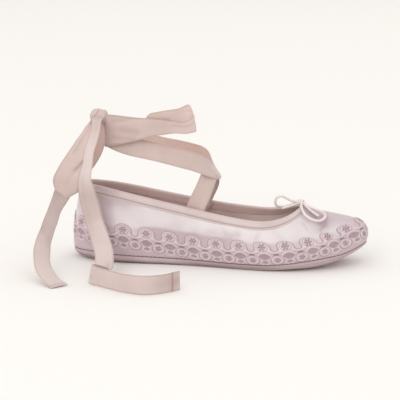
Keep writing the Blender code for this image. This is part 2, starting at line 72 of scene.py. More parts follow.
# ---- heights of the feather edge, the sole's edge thickness and the ground line under the middle
SOLE_COLUMNS = ("station", "feather", "edge", "ground")
SOLE = (
    (0, 8.2, 3.4, 2.6), (6, 8.2, 4.0, 1.4), (17, 8.5, 4.6, 0.3), (35, 7.3, 5.2, 0.0),
    (65, 6.2, 5.0, 0.0), (107, 5.2, 4.6, 0.0), (140, 4.6, 4.0, 0.0), (164, 4.9, 4.0, 0.0),
    (184, 6.6, 4.0, 0.0), (194, 8.0, 4.0, 0.2), (206, 9.6, 3.8, 1.1), (218, 11.2, 3.1, 3.8),
    (228, 12.8, 2.5, 7.2), (236, 15.2, 2.2, 10.4), (243, 17.8, 2.0, 13.4), (250, 20.0, 2.0, 16.0),
)
SOLE_MIDDLE = 3.4
SOLE_ROUNDING = 0.42
MIDDLE_STATIONS = (30.0, 222.0)
MIDDLE_BLEND = 14.0

# ---- the topline: half widths of the opening and its height at each station
TOPLINE = (
    (12, 8.0, 8.0, 64.0), (22, 12.4, 12.2, 63.0), (40, 17.2, 16.6, 60.2), (65, 21.0, 19.0, 55.4),
    (100, 24.6, 20.6, 48.7), (125, 27.8, 23.8, 44.2), (150, 30.6, 28.0, 40.6), (164, 30.2, 28.8, 39.7),
    (176, 26.8, 26.2, 41.2), (184.5, 20.6, 21.2, 43.8), (190, 11.0, 12.6, 46.2),
)
TOPLINE_BACK = (7.4, 0.0, 64.2)
THROAT = (192.0, 1.2, 46.9)

# ---- each girth line: which angle of the topline it meets, and how it leaves and arrives
FAN_COLUMNS = ("outline_angle", "topline_angle")
FAN = ((0, 0), (40, 41), (61, 68), (79, 90), (97.5, 114), (110, 128.5), (120, 139.5),
       (131.5, 150.5), (141.5, 159), (155, 168), (180, 180))
GIRTH_COLUMNS = ("station", "bulge", "rise", "lean", "reach")
GIRTH = (
    (0, 5, 0.34, 9, 0.34), (15, 9, 0.34, 12, 0.34), (40, 11, 0.34, 14, 0.34), (100, 10, 0.36, 15, 0.34),
    (135, 12, 0.38, 19, 0.34), (160, 15, 0.40, 25, 0.36), (180, 17, 0.40, 35, 0.40),
    (200, 19, 0.38, 50, 0.44), (220, 21, 0.34, 64, 0.47), (235, 24, 0.21, 72, 0.28),
    (247, 13, 0.42, 74, 0.61),
)

# ---- soft troughs (depth above 0) and ridges (below 0) in the satin of the quarters: each runs from a
# station and a height to another, with its depth and its width
LATERAL_CREASES = (
    (96, 33, 104, 38, 0.28, 5.0), (24, 58, 33, 34, 0.40, 3.6), (36, 56, 41, 34, -0.30, 4.0),
    (157, 24, 161, 31, 0.55, 1.3), (153, 25, 155, 29, 0.45, 1.1), (60, 44, 92, 40, 0.25, 6.0),
    (118, 29, 150, 27, 0.35, 3.4), (128, 37, 150, 33, -0.25, 3.0), (172, 33, 182, 27, 0.30, 2.6),
)
MEDIAL_CREASES = (
    (70, 36, 96, 33, 0.45, 4.5), (26, 56, 36, 36, 0.40, 3.8), (120, 30, 150, 27, 0.40, 3.4),
    (150, 25, 157, 30, 0.50, 1.6), (172, 32, 184, 26, 0.35, 2.6),
)
# ---- painted shade on the satin, in patches, in the same columns
LATERAL_SHADE_PATCHES = (
    (76, 28.5, 106, 27.5, 0.30, 5.0), (106, 27.5, 130, 26.5, 0.25, 4.0), (16, 56, 56, 49, 0.62, 5.0),
    (24, 50, 36, 32, 0.40, 6.0), (8, 50, 12, 26, 0.30, 6.0), (160, 24, 200, 24, 0.20, 4.0),
    (206, 35, 214, 32, 0.28, 4.5), (30, 42, 100, 37, 0.22, 14.0), (134, 31.5, 144, 29, 0.50, 3.0),
)
MEDIAL_SHADE_PATCHES = (
    (40, 36, 86, 30, 0.45, 6.0), (110, 27, 150, 24, 0.40, 5.0), (8, 50, 12, 26, 0.45, 6.0),
    (165, 26, 200, 25, 0.30, 4.0),
)
# ---- painted shade on the satin down between the rim's discs, and up to a reach above them
RIM_SHADE_COLUMNS = ("station", "depth", "reach")
RIM_SHADE = (
    (0, 0.35, 19.5), (55, 0.45, 20.5), (72, 0.85, 24.0), (135, 0.85, 24.0), (158, 0.62, 21.5),
    (200, 0.50, 20.0), (235, 0.30, 19.0), (250, 0.20, 18.0),
)
# ---- patches of painted shade, and troughs and ridges, on top of the vamp: as above, with sides in place of heights
VAMP_SHADE_PATCHES = (
    (208, -3, 240, 3, 0.90, 20.0), (202, -15, 210, -15, 0.48, 6.0), (196, -8, 203, -12, 0.32, 3.5),
    (213, -17, 210, -29, 0.45, 2.8), (196, -26, 202, -33, 0.35, 1.1),
)
VAMP_CREASES = (
    (199, -9, 208, -17, 0.40, 2.4), (201, 6, 211, 15, 0.40, 2.4), (197, -19, 204, -26, 0.30, 2.4),
    (213, -16, 210.5, -28, 0.55, 1.7), (206, -26, 204, -33, -0.30, 2.6),
    (204, 0, 221, 1, -0.25, 3.4), (226, -9, 236, -7, 0.25, 2.2), (226, 11, 236, 10, 0.25, 2.2),
)
SATIN_UNEVENNESS = 0.07
VAMP_HEIGHTS = (26.0, 32.0)       # over which the vamp's creases come in
VAMP_STATIONS = (188.0, 198.0)
# heights over which the vamp's painted shade comes in
VAMP_SHADE_HEIGHTS = (28.0, 38.0)
QUARTER_SIDES = (8.0, 16.0)       # from the middle, over which the quarters' creases come in

# ---- the relief rim: how far its rows of motifs are lifted above the feather edge
LIFT_COLUMNS = ("angle", "lift")
LIFT = (
    (0, 10.2), (10, 9.8), (20, 8.6), (30, 6.9), (40, 6.3), (50, 6.4), (62, 4.4), (74, 2.2), (88, 0.2),
    (100, 0.0), (120, 0.1), (130, 1.0), (140, 2.4), (150, 3.6), (160, 4.0), (180, 4.2),
)
DISC_HEIGHT = 15.8                # centres of the upper discs, above the lifted feather edge
DISC_SIZE = (7.0, 4.8)
LOW_DISC_HEIGHT = 4.6             # centres of the lower discs, half a pitch along
LOW_DISC_SIZE = (4.9, 3.6)
LEAF_HEIGHT = 7.6                 # centres of the leaf-shaped recesses
LEAF_SIZE = (5.0, 2.5)
BUD_HEIGHT = 9.3                  # small pressed buds above the lower discs
BUD_SIZE = (2.4, 0.75)
SEED_HEIGHT = 2.9                 # small recesses between two lower discs
SEED_SIZE = (2.6, 1.1)
NOTCH_HEIGHT = 13.0               # top of the rim beside the lowest place between two discs
NOTCH_DIP = 1.2
NOTCH_WIDTH = 2.8
DISC_BLEND = 3.0                  # over which a disc's outline runs into the rim's top
RIM_EDGE_STEP = (-0.25, 0.40)     # over which the relief rises at the rim's outline
RIDGE_HEIGHT = 0.42
# width and place of each ridge and groove, measured out from its motif's own outline
RIM_RIDGE = (0.62, -0.95)
DISC_RIDGE = (0.50, -2.15)
LOW_DISC_RIDGE = (0.50, -0.55)
RECESS_RIDGE = (0.50, 0.75)
DISC_GROOVE = (0.36, -1.45)
LOW_DISC_GROOVE = (0.36, 0.30)
SHADE_WIDTH = 0.34                # of the painted shade lines along the outlines

# ---- the ankle ribbon: a band around the ankle and a riser from inside each quarter. Each row of a ribbon
# is a station, side and height, and the way its width points from there
ANKLE_BAND = (
    (22.5, -2, 110, 0.2, 0.0, 1.0), (29, -15, 107.5, 0.2, 0.15, 1.0), (46, -23.5, 100, 0.2, 0.1, 1.0),
    (71.5, -28, 95, 0.2, 0.05, 1.0), (96, -26, 89, 0.2, 0.1, 1.0), (112, -17, 82.5, -0.05, 0.2, 1.0),
    (121.5, 0, 74.8, -0.6, 0.0, 0.85), (114.5, 14, 81.5, -0.2, -0.2, 1.0), (97, 24, 87, 0.1, -0.15, 1.0),
    (71, 27, 91, 0.15, -0.1, 1.0), (46, 22.5, 98, 0.2, -0.1, 1.0), (27.5, 11, 106, 0.2, -0.1, 1.0),
)
LATERAL_RISER = (
    (101.5, -24.8, 31, 1.0, -0.10, -0.20), (106.0, -21.5, 43, 1.0, -0.1, -0.30),
    (109.5, -20.6, 52, 1.0, 0.1, -0.35), (113.5, -18.6, 61, 0.95, 0.3, -0.40),
    (118.6, -10.6, 75.6, 0.75, 0.6, -0.45),
)
MEDIAL_RISER = (
    (102, 20.6, 31, 1.0, 0.10, -0.20), (106.8, 17.4, 43, 1.0, 0.1, -0.30),
    (110.6, 17.4, 52, 1.0, -0.1, -0.35), (115, 15.4, 61, 0.95, -0.3, -0.40),
    (119.4, 8.2, 75.4, 0.75, -0.6, -0.45),
)

RIBBON_WAVES = (0.21, 0.37)       # slow and quick ripples along an open ribbon, in radians a millimetre
BAND_WAVES = (7, 12)              # ripples along the closed band, counted once around
QUICK_WAVE = 0.6                  # height of the quick ripples beside the slow ones
RIBBON_PLEATS = 1.6               # across a gathered end
RIBBON_SHADE = 0.7                # painted shade of the deepest pleats and marks
RIBBON_EDGE = 0.04                # half the thickness left at a ribbon's very edge
RIBBON_EDGE_POWER = 14            # how squarely the ribbon's section ends
SELVEDGE_PLACE = 0.93             # of the half width
SELVEDGE_WIDTH = 0.06
SELVEDGE_RAISE = 0.45             # of the ribbon's thickness
HEM_RAISE = 0.9                   # of the ribbon's thickness, where its end is folded over
HEM_STEP = 0.3                    # either side of the fold's edge
HEM_LINE = 0.55                   # width of the painted shade line at the fold's edge
SAG_REACH = 9.0                   # along the ribbon, either side of its lowest place
BAND_SAMPLES = 420
RISER_SAMPLES = 90
LOOP_SAMPLES = 260
LOOP_GATHERS = (12.0, 12.0)       # how far the pleats reach from a loop's two ends
LOOP_ACROSS = 41
TAIL_SAMPLES = 320
TAIL_ACROSS = 25

# ---- the bow's knot, loops and tails; a loop's edge vector is longer where the ribbon spreads
KNOT_CENTRE = (27.0, -21.0, 121.4)
KNOT_SIZE = (14.0, 11.5, 13.0)
KNOT_TILT = 14.0                  # degrees the ribbon's knot leans forward
KNOT_SHIFT = (1.1, 0.0, 0.4)      # of its mesh, once it leans
KNOT_SQUARENESS = 2.8             # 2 would be a round section
KNOT_CREASE = 0.10                # width of the painted shade line in a trough
KNOT_GRID = (48, 96)              # rows along the knot and columns around it
# folds of the knot: their place along it, their height (a trough's is below 0) and their width
KNOT_FOLDS = ((0.45, 0.07, 0.10), (0.62, -0.06, 0.08), (-0.25, 0.05, 0.16), (-0.48, -0.05, 0.09))
WING_LOOP = (
    (27.4, -19.6, 119, 0.5, 0.1, 0.4), (28, -18.6, 113, 0.2, 0.1, 1.0),
    (31.8, -22.6, 110.5, 0, 0, 1.70), (40.3, -26.5, 111.2, -0.05, 0.07, 1.67),
    (51, -30.5, 112.3, -0.08, 0.2, 1.45), (62, -33, 113.4, -0.09, 0.27, 1.2),
    (73, -34.5, 115.1, -0.13, 0.47, 0.93), (83, -35.5, 115.8, -0.15, 0.6, 0.72),
    (93, -36, 115.6, -0.15, 0.67, 0.55), (102.6, -35.4, 115.3, -0.2, 0.6, 0.52),
    (108.4, -32.8, 118.4, -0.25, 0.4, 0.72), (105.2, -29.6, 123.8, -0.16, 0.2, 1.19),
    (95, -28.6, 122.2, -0.06, 0.08, 1.05), (84, -28.5, 121, -0.06, 0.07, 0.95),
    (77, -29.2, 119.8, -0.05, 0.03, 0.95), (71.5, -29.2, 118.4, -0.05, 0.05, 0.93),
    (66.5, -28.9, 113.8, -0.05, 0.07, 0.76), (57, -27.2, 112.2, -0.03, 0.05, 0.70),
    (39.4, -23.2, 114.8, 0, 0, 0.66), (29.5, -20.4, 119.5, 0.1, 0.1, 0.70),
)
HEEL_LOOP = (
    (26.4, -23.6, 120.4, 0.4, -0.1, -0.2), (24.6, -29.4, 117, 0.45, 0, -0.1),
    (22.4, -33, 111, 0.68, 0, -0.05), (17.7, -36.2, 101.5, 0.95, -0.07, -0.03),
    (12.4, -38.3, 90.7, 1.25, -0.03, 0.03), (7.6, -39.8, 80.2, 1.46, 0, 0.03),
    (4.4, -40.8, 70.6, 1.52, 0, -0.02), (4.2, -38.8, 62.6, 1.3, 0, -0.08),
    (4.6, -35, 63.3, 1.25, 0, -0.08), (9, -31.6, 73.5, 1.2, 0.07, -0.21),
    (17.0, -29.6, 84.5, 1.2, 0.07, -0.26), (23.8, -28.2, 96, 1.1, 0.13, -0.28),
    (27.6, -26.8, 107, 0.86, 0.1, -0.26), (28.2, -24.8, 114, 0.66, 0.07, -0.12),
    (27.2, -22.6, 119.6, 0.6, 0.1, -0.1),
)
FRONT_TAIL = (
    (27.6, -23.6, 121.4, 0.8, -0.5, -0.1), (28.4, -32.8, 119.0, 0.75, -0.62, -0.1),
    (28.8, -40.2, 111.0, 0.8, -0.6, 0.1), (25.2, -44.2, 98.5, 0.8, -0.6, 0.1),
    (23.4, -47.6, 85.3, 0.7, -0.7, 0.05), (21.8, -47.4, 76.3, 0.76, -0.64, 0.05),
    (21.6, -43.4, 64.0, 1.0, -0.2, 0.1), (23.6, -38.6, 49, 1.0, 0.0, 0.25), (26.8, -38.6, 36, 1.0, 0.0, 0.3),
    (32.0, -46.0, 26.5, 0.97, 0.0, 0.3), (37.2, -58.0, 21.0, 0.97, 0.0, 0.22),
    (41.0, -70.0, 14.6, 0.97, 0.0, 0.15), (42.0, -81.5, 8.2, 0.97, 0.0, 0.08),
    (39.0, -88.6, 8.0, 0.72, 0.1, 0.66), (35.0, -94.8, 8.4, 0.2, 0.1, 0.97),
    (38.6, -101.4, 8.6, 0.15, 0.0, 0.98), (54, -112.0, 7.9, 0.0, 0.0, 1.0), (70, -122.0, 7.9, 0.0, 0.0, 1.0),
    (84, -124.5, 7.9, 0.0, 0.0, 1.0), (97, -118.0, 7.9, 0.0, 0.0, 1.0), (107, -105.5, 7.9, 0.0, 0.0, 1.0),
)
SIDE_TAIL = (
    (25.4, -20.6, 118.6, 0.8, -0.1, -0.5), (22.6, -20.8, 111.0, 0.82, -0.1, -0.55),
    (18.0, -21.5, 99, 0.84, 0.0, -0.52), (10.0, -23.0, 84, 0.86, 0.0, -0.48),
    (3.0, -24.5, 70, 0.85, 0.1, -0.45), (-3.0, -26.5, 57, 0.75, 0.5, -0.4),
    (-7.6, -31.5, 46, 0.55, 0.8, -0.3), (-10.0, -41.0, 35.5, 0.44, 0.88, -0.2),
    (-11.0, -53.0, 27, 0.38, 0.92, -0.1), (-10.4, -66.0, 20.0, 0.38, 0.92, 0.0),
    (-7.4, -80.0, 13.4, 0.45, 0.88, 0.0), (-1.8, -92.5, 7.6, 0.58, 0.81, 0.0),
    (6.4, -103.4, 3.4, 0.68, 0.73, 0.0), (13.8, -110.6, 1.4, 0.72, 0.69, 0.0),
)

# ---- troughs and ridges pressed in the bow's ribbons: each runs from a distance along the ribbon and from
# its middle to another, with its depth and its width
# troughs also darken the ribbon with painted shade; the wide, shallow rows are there mostly as patches of
# painted shade
WING_MARKS = (
    (12.5, -8, 13.5, 8, 0.90, 0.8), (112, 0, 146, 2, 0.38, 8.0), (42, 1, 66, 1, 0.38, 9.5),
    (22, 7, 46, 9, 0.30, 1.6), (22, -6, 42, -9, 0.35, 1.8), (24, 2, 36, 4, -0.40, 2.2),
    (30, 0, 44, -3, 0.30, 2.6), (74, 5.6, 104, 3.4, -0.55, 1.3), (76, 2.2, 100, 1.2, 0.35, 1.5),
    (120, 0, 150, 2, 0.30, 3.0),
)
HEEL_MARKS = (
    (6, -1, 34, -3, 0.35, 1.5), (40, 9.5, 50, 4.5, 0.55, 1.3), (44, 6.5, 58, 1.0, 0.25, 2.6),
    (16, 3, 44, 7, -0.30, 2.0),
)
FRONT_TAIL_MARKS = (
    (8, 0, 17, 0, 0.40, 6.0), (150, 3, 176, -2, 0.30, 2.2), (60, -3, 110, -5, 0.20, 2.6),
    (78, 0, 96, 0, 0.40, 12.0), (166, 0, 245, 0, 0.34, 13.0), (243, 0, 252, 0, 0.30, 7.0),
    (257, 0, 263, 0, 0.50, 6.5),
)
SIDE_TAIL_MARKS = ((60, -3, 110, -5, 0.20, 2.6), (30, 2, 52, -1, 0.25, 2.2))

# ---- the throat bow: a thin cord knotted on the binding, one loop standing, one lying on the vamp
CORD_SIDES = 12
CORD_STRANDS = 3
CORD_TWIST = 2.1                  # radians a millimetre
CORD_BODY = 0.95                  # radius between the strands, of the cord's own
CORD_STRAND = 0.06                # height of the strands, of the cord's own radius
CORD_GROOVE = 0.22                # painted shade between the strands: tone, on average
CORD_LOOP_SAMPLES = 150
CORD_KNOT_SAMPLES = 60
CORD_END_SHARE = 0.95             # an end's diameter, of the cord's own
CORD_KNOT_CENTRE = (192.6, 0.6, 50.2)
CORD_KNOT_TURNS = 2.15
CORD_KNOT_SIZE = (4.0, 2.2, 1.6)  # length along the wrap, and its two radii
STANDING_LOOP = (
    (190.4, 0, 50.4), (184, -2.2, 52), (180, -4.2, 54.6), (176.4, -6, 56.2), (173.2, -7, 55.1),
    (171.8, -7, 51.8), (172.4, -6.2, 48.6), (175.2, -4.6, 47.2), (179.6, -2.6, 47), (184.4, -0.4, 48),
    (190.3, 1.2, 50),
)
LYING_LOOP = (
    (193.2, -1.6, 50.8), (193.4, -8.8, 48.8), (194.9, -15.4, 46.2), (198.9, -20.6, 42.6),
    (203.7, -22.2, 40.4), (208.5, -21.4, 39.5), (212.4, -17.6, 40.6), (213.2, -13.2, 42.4),
    (210.9, -9.6, 44.2), (204.6, -6.8, 46.2), (198.4, -4.4, 48.2), (194.6, 0, 50.4),
)
CORD_LEFT_END = (
    (191.0, -1.4, 49.8), (187.5, -3.6, 48.8), (183.5, -5.4, 47.6), (179.8, -6.6, 46.6), (177.0, -7.2, 45.8),
)
CORD_RIGHT_END = (
    (194.2, -1.8, 50.6), (196.4, -4.6, 48.4), (199.8, -7.6, 46.0), (204.1, -11.6, 43.7), (208.4, -14.6, 41.9),
)


# ================================================================== curves and surfaces of the shoe
def column(rows, names, name):
    """One named column of a table, as an array."""
    return np.array([row[names.index(name)] for row in rows], float)


def smooth(x, knots, values):
    """A cubic through the knots whose slopes never overshoot them."""
    steps = np.diff(knots)
    rises = np.diff(values) / steps
    same_sign = rises[:-1] * rises[1:] > 0
    harmonic = 2 * rises[:-1] * rises[1:] / np.where(same_sign, rises[:-1] + rises[1:], 1.0)
    slopes = np.concatenate([[rises[0]], np.where(same_sign, harmonic, 0.0), [rises[-1]]])
    x = np.clip(x, knots[0], knots[-1])
    i = np.clip(np.searchsorted(knots, x, side="right") - 1, 0, len(steps) - 1)
    return cubic((x - knots[i]) / steps[i], steps[i], values[i], values[i + 1], slopes[i], slopes[i + 1])


def cubic(t, span, start, end, leaving, arriving):
    """A cubic between two values over a span, t of the way along, with its slopes at both ends."""
    ends = start * (1 + 2 * t) * (1 - t) ** 2 + end * (3 - 2 * t) * t ** 2
    return ends + span * (leaving * t * (1 - t) ** 2 - arriving * (1 - t) * t ** 2)


def read(table, columns, name, at):
    """The value of a table's named column at any place along its first column."""
    return smooth(at, column(table, columns, columns[0]), column(table, columns, name))


def ease(x, low, high):
    """0 below low, 1 above high, and a smooth step between them."""
    t = np.clip((x - low) / (high - low), 0.0, 1.0)
    return t * t * (3 - 2 * t)


def fade(distance, width, centre=0.0):
    """1 at the centre, fading to nothing over about twice the width."""
    return np.exp(-((distance - centre) / width) ** 2)


def unit(vectors):
    """The same directions with length 1."""
    return vectors / np.maximum(np.linalg.norm(vectors, axis=-1, keepdims=True), 1e-9)


def distances(points):
    """How far along its line each point lies, for one line of points or for several."""
    steps = np.linalg.norm(np.diff(points, axis=-2), axis=-1)
    return np.concatenate([np.zeros(steps.shape[:-1] + (1,)), np.cumsum(steps, axis=-1)], axis=-1)


def there_and_back(first, second, axis=0):
    """The rows (or columns) of the first array, then those of the second from last to first."""
    return np.concatenate([first, np.flip(second, axis)], axis)


def closed_spline(points, count):
    """A closed smooth curve through the points, sampled evenly along their chords."""
    points = np.asarray(points, float)
    size = len(points)
    chords = np.linalg.norm(np.roll(points, -1, 0) - points, axis=1)
    matrix = np.zeros((size, size))
    turn = np.zeros_like(points)
    for i in range(size):
        before, after, following = chords[i - 1], chords[i], (i + 1) % size
        matrix[i, i - 1] += before
        matrix[i, i] += 2 * (before + after)
        matrix[i, following] += after
        turn[i] = 6 * ((points[following] - points[i]) / after - (points[i] - points[i - 1]) / before)
    bend = np.linalg.solve(matrix, turn)
    starts = np.concatenate([[0.0], np.cumsum(chords)])
    at = np.linspace(0.0, starts[-1], count, endpoint=False)
    i = np.clip(np.searchsorted(starts, at, side="right") - 1, 0, size - 1)
    j = (i + 1) % size
    left, right, span = (starts[i + 1] - at)[:, None], (at - starts[i])[:, None], chords[i][:, None]
    curve = (bend[i] * left ** 3 + bend[j] * right ** 3) / (6 * span)
    curve += (points[i] / span - bend[i] * span / 6) * left
    return curve + (points[j] / span - bend[j] * span / 6) * right


def open_spline(points, count):
    """A smooth curve through the points from first to last, evenly spaced along its length."""
    points = np.asarray(points, float)
    lengths = distances(points[:, :3])
    tangents = np.gradient(points, lengths, axis=0)
    at = np.linspace(0.0, lengths[-1], count)
    i = np.clip(np.searchsorted(lengths, at, side="right") - 1, 0, len(points) - 2)
    span = (lengths[i + 1] - lengths[i])[:, None]
    t = (at - lengths[i])[:, None] / span
    return cubic(t, span, points[i], points[i + 1], tangents[i], tangents[i + 1])


def around(curve, angles):
    """Points of a closed curve by angle: 0 at the heel, 180 at the toe, the lateral side first."""
    heel, toe = int(np.argmin(curve[:, 0])), int(np.argmax(curve[:, 0]))
    lateral = np.roll(curve, -heel, 0)[: (toe - heel) % len(curve) + 1]
    medial = np.roll(curve, -toe, 0)[: (heel - toe) % len(curve) + 1][::-1]
    low, high = curve[heel, 0], curve[toe, 0]
    stations = (low + high) / 2 - (high - low) / 2 * np.cos(np.radians(angles))
    sides = [
        np.column_stack([np.interp(stations, half[:, 0], values) for values in half.T])
        for half in (lateral, medial)
    ]
    return np.where((angles <= 180)[:, None], *sides)


def outline(angles):
    """The feather edge at each angle, as station and side."""
    lateral = [(x, -left) for x, left, _ in PLAN]
    medial = [(x, right) for x, _, right in PLAN[::-1]]
    points = [(HEEL_STATION, 0.0)] + lateral + [(TOE_STATION, TOE_TIP_SIDE)] + medial
    return around(closed_spline(points, CURVE_SAMPLES), angles)


def topline(angles):
    """The edge of the opening at each angle, as station, side and height."""
    lateral = [(x, -left, z) for x, left, _, z in TOPLINE]
    medial = [(x, right, z) for x, _, right, z in TOPLINE[::-1]]
    return around(closed_spline([TOPLINE_BACK] + lateral + [THROAT] + medial, CURVE_SAMPLES), angles)


def plan_normals(points):
    """Unit vectors that point out of a ring of points, in plan."""
    along = np.roll(points, -1, 0)[:, :2] - np.roll(points, 1, 0)[:, :2]
    return unit(np.stack([along[:, 1], -along[:, 0]], 1))


def line_angles(lines):
    """Evenly spaced angles around the shoe."""
    return np.arange(lines) * 360.0 / lines


def medial_mirrored(angles, values):
    """Angles as they are on the lateral side, and taken from 360 on the medial side."""
    return np.where(angles <= 180, values, 360 - values)


def rim_lift(angles):
    """How far the rim's motifs are lifted above the feather edge at each angle."""
    return read(LIFT, LIFT_COLUMNS, "lift", medial_mirrored(angles, angles))


def girth_lines(count):
    """Cubic lines from the feather edge up to the topline, one at each angle around the shoe."""
    angles = line_angles(count)
    met = read(FAN, FAN_COLUMNS, "topline_angle", medial_mirrored(angles, angles))
    met = medial_mirrored(angles, met)
    plan, top = outline(angles), topline(met)
    station = plan[:, 0]
    foot = np.column_stack([plan, sole_at("feather", station)])
    bulge, lean = (np.radians(read(GIRTH, GIRTH_COLUMNS, name, station)) for name in ("bulge", "lean"))
    rise, reach = (read(GIRTH, GIRTH_COLUMNS, name, station) for name in ("rise", "reach"))
    span = np.linalg.norm(top - foot, axis=1)[:, None]
    leave = np.column_stack([plan_normals(foot) * np.sin(bulge)[:, None], np.cos(bulge)])
    arrive = np.column_stack([-plan_normals(top) * np.sin(lean)[:, None], np.cos(lean)])
    edge = unit(np.roll(top, -1, 0) - np.roll(top, 1, 0))
    arrive = unit(arrive - edge * (arrive * edge).sum(1)[:, None])
    low = foot + leave * rise[:, None] * span
    high = top - arrive * reach[:, None] * span
    t = np.linspace(0.0, 1.0, LINE_SAMPLES)[None, :, None]
    foot, low, high, top = (points[:, None, :] for points in (foot, low, high, top))
    return foot * (1 - t) ** 3 + 3 * low * t * (1 - t) ** 2 + 3 * high * t ** 2 * (1 - t) + top * t ** 3


def points_up(lines, heights):
    """The points at the given heights (rows by lines) along the girth lines."""
    points = np.zeros(heights.shape + (3,))
    for k, (line, lengths) in enumerate(zip(lines, distances(lines))):
        for axis in range(3):
            points[:, k, axis] = np.interp(heights[:, k], lengths, line[:, axis])
    return points


def points_down(lines, depths):
    """The points at the given depths (rows by lines) below the topline along the girth lines."""
    return points_up(lines, distances(lines)[:, -1] - depths)


def skin_normals(points):
    """Unit normals of a grid whose rows go up and whose columns go round, outside facing."""
    along = np.roll(points, -1, 1) - np.roll(points, 1, 1)
    return unit(np.cross(along, np.gradient(points, axis=0)))


def mark_depth(x, y, row):
    """How deep a mark is pressed at each point: its depth on its own segment, fading to its sides."""
    from_x, from_y, to_x, to_y, depth, width = row
    run_x, run_y = to_x - from_x, to_y - from_y
    t = ((x - from_x) * run_x + (y - from_y) * run_y) / (run_x ** 2 + run_y ** 2)
    near = np.clip(t, 0.0, 1.0)
    return fade(np.hypot(x - from_x - near * run_x, y - from_y - near * run_y), width) * depth


def marks_depth(x, y, rows):
    """How deep a table's marks are pressed at each point, together."""
    return sum(mark_depth(x, y, row) for row in rows)


def satin_depth(points):
    """How far the satin is pulled in at each point: the placed creases and a slow unevenness."""
    x, y, z = points[..., 0], points[..., 1], points[..., 2]
    sides = np.where(y < 0, marks_depth(x, z, LATERAL_CREASES), marks_depth(x, z, MEDIAL_CREASES))
    vamp = marks_depth(x, y, VAMP_CREASES) * ease(z, *VAMP_HEIGHTS) * ease(x, *VAMP_STATIONS)
    slow = np.sin(x / 9.1 + 1.3) * np.sin(z / 7.3 + y / 13.0) + 0.6 * np.sin(x / 4.7 - z / 5.9 + 0.7)
    return sides * ease(np.abs(y), *QUARTER_SIDES) + vamp + SATIN_UNEVENNESS * slow


def satin_painted_shade(points):
    """How much painted shade darkens the satin at each point, from 0 to 1: soft patches above the relief rim.
    """
    x, y, z = points[..., 0], points[..., 1], points[..., 2]
    height = z + 2.2 * np.sin(x / 5.3 + 0.6) + 1.3 * np.sin(x / 2.7 + 2.0)
    sides = np.where(y < 0, marks_depth(x, height, LATERAL_SHADE_PATCHES), marks_depth(x, height, MEDIAL_SHADE_PATCHES))
    return np.clip(sides + marks_depth(x, y, VAMP_SHADE_PATCHES) * ease(z, *VAMP_SHADE_HEIGHTS), 0.0, 1.0)


def satin_surface(lines, heights):
    """The satin at heights above the feather edge: its creased face, its normals and its face uncreased."""
    plain = points_up(lines, heights)
    normals = skin_normals(plain)
    return plain - normals * satin_depth(plain)[..., None], normals, plain


def middle_line(station):
    """The sole's middle line abreast of each station, drawn in from the heel and the toe."""
    first, last = MIDDLE_STATIONS
    drawn = 0.5 * (station + last - np.hypot(station - last, MIDDLE_BLEND))
    drawn = 0.5 * (drawn + first + np.hypot(drawn - first, MIDDLE_BLEND))
    side = (read(PLAN, PLAN_COLUMNS, "medial", drawn) - read(PLAN, PLAN_COLUMNS, "lateral", drawn)) / 2
    return np.column_stack([drawn, side])


def sole_at(name, station):
    """A named height or thickness of the sole at each station."""
    return read(SOLE, SOLE_COLUMNS, name, station)


def sole_point(angles, part_way, raise_by):
    """A ring of the sole: part of the way from the outline to the middle line, above its underside."""
    plan = outline(angles)
    station = plan[:, 0]
    drawn_in = plan + (middle_line(station) - plan) * part_way[:, None]
    lift = sole_at("feather", station) - sole_at("edge", station) - sole_at("ground", station)
    turned = np.clip(1 - part_way / SOLE_ROUNDING, 0.0, 1.0) ** 2
    under = sole_at("ground", drawn_in[:, 0]) + lift * turned
    return np.column_stack([drawn_in, under + raise_by])


def sole_thickness(angles, part_way):
    """The outsole's thickness: its edge's at the outline, and its middle's inside the rounding."""
    edge = sole_at("edge", outline(angles)[:, 0])
    inside = np.clip(part_way / SOLE_ROUNDING, 0.0, 1.0)
    return edge + (SOLE_MIDDLE - edge) * inside


def place(points):
    """Stations in millimetres to the frame in metres."""
    return (np.asarray(points, float)[..., :3] - ORIGIN) * MM


# ================================================================== making meshes
def set_field(mesh, name, values, kind="FLOAT", key="value"):
    """Stores a field on a mesh's points."""
    layer = mesh.attributes.new(name, kind, "POINT")
    layer.data.foreach_set(key, np.ascontiguousarray(values, dtype=np.float32).ravel())


def grid_mesh(name, points, fields, wrap_rows=False, wrap_columns=True, capped=False):
    """A mesh of quads over a grid of stations, with a UV map in metres and float fields on its points."""
    rows, columns = points.shape[:2]
    index = np.arange(rows * columns).reshape(rows, columns)
    if wrap_columns:
        index = np.concatenate([index, index[:, :1]], 1)
    if wrap_rows:
        index = np.concatenate([index, index[:1]], 0)
    flat = place(points).reshape(-1, 3)
    steps_along = np.linalg.norm(flat[index[:, 1:]] - flat[index[:, :-1]], axis=2).mean(0)
    steps_up = np.linalg.norm(flat[index[1:]] - flat[index[:-1]], axis=2).mean(1)
    along = np.concatenate([[0.0], np.cumsum(steps_along)])
    up = np.concatenate([[0.0], np.cumsum(steps_up)])
    here, beyond = slice(None, -1), slice(1, None)
    corners = ((here, here), (here, beyond), (beyond, beyond), (beyond, here))
    faces = np.stack([index[corner] for corner in corners], -1).reshape(-1, 4).tolist()
    lay = np.stack(np.broadcast_arrays(along[None, :], up[:, None]), -1)
    uv = np.stack([lay[corner] for corner in corners], 2).reshape(-1, 2)
    if capped:
        faces += [index[0, :columns][::-1].tolist(), index[-1, :columns].tolist()]
        uv = np.concatenate([uv, np.zeros((2 * columns, 2))])
    mesh = bpy.data.meshes.new(name)
    mesh.from_pydata(flat.tolist(), [], faces)
    mesh.uv_layers.new(name="weave").data.foreach_set("uv", uv.ravel())
    for field, values in fields.items():
        set_field(mesh, field, values)
    return mesh


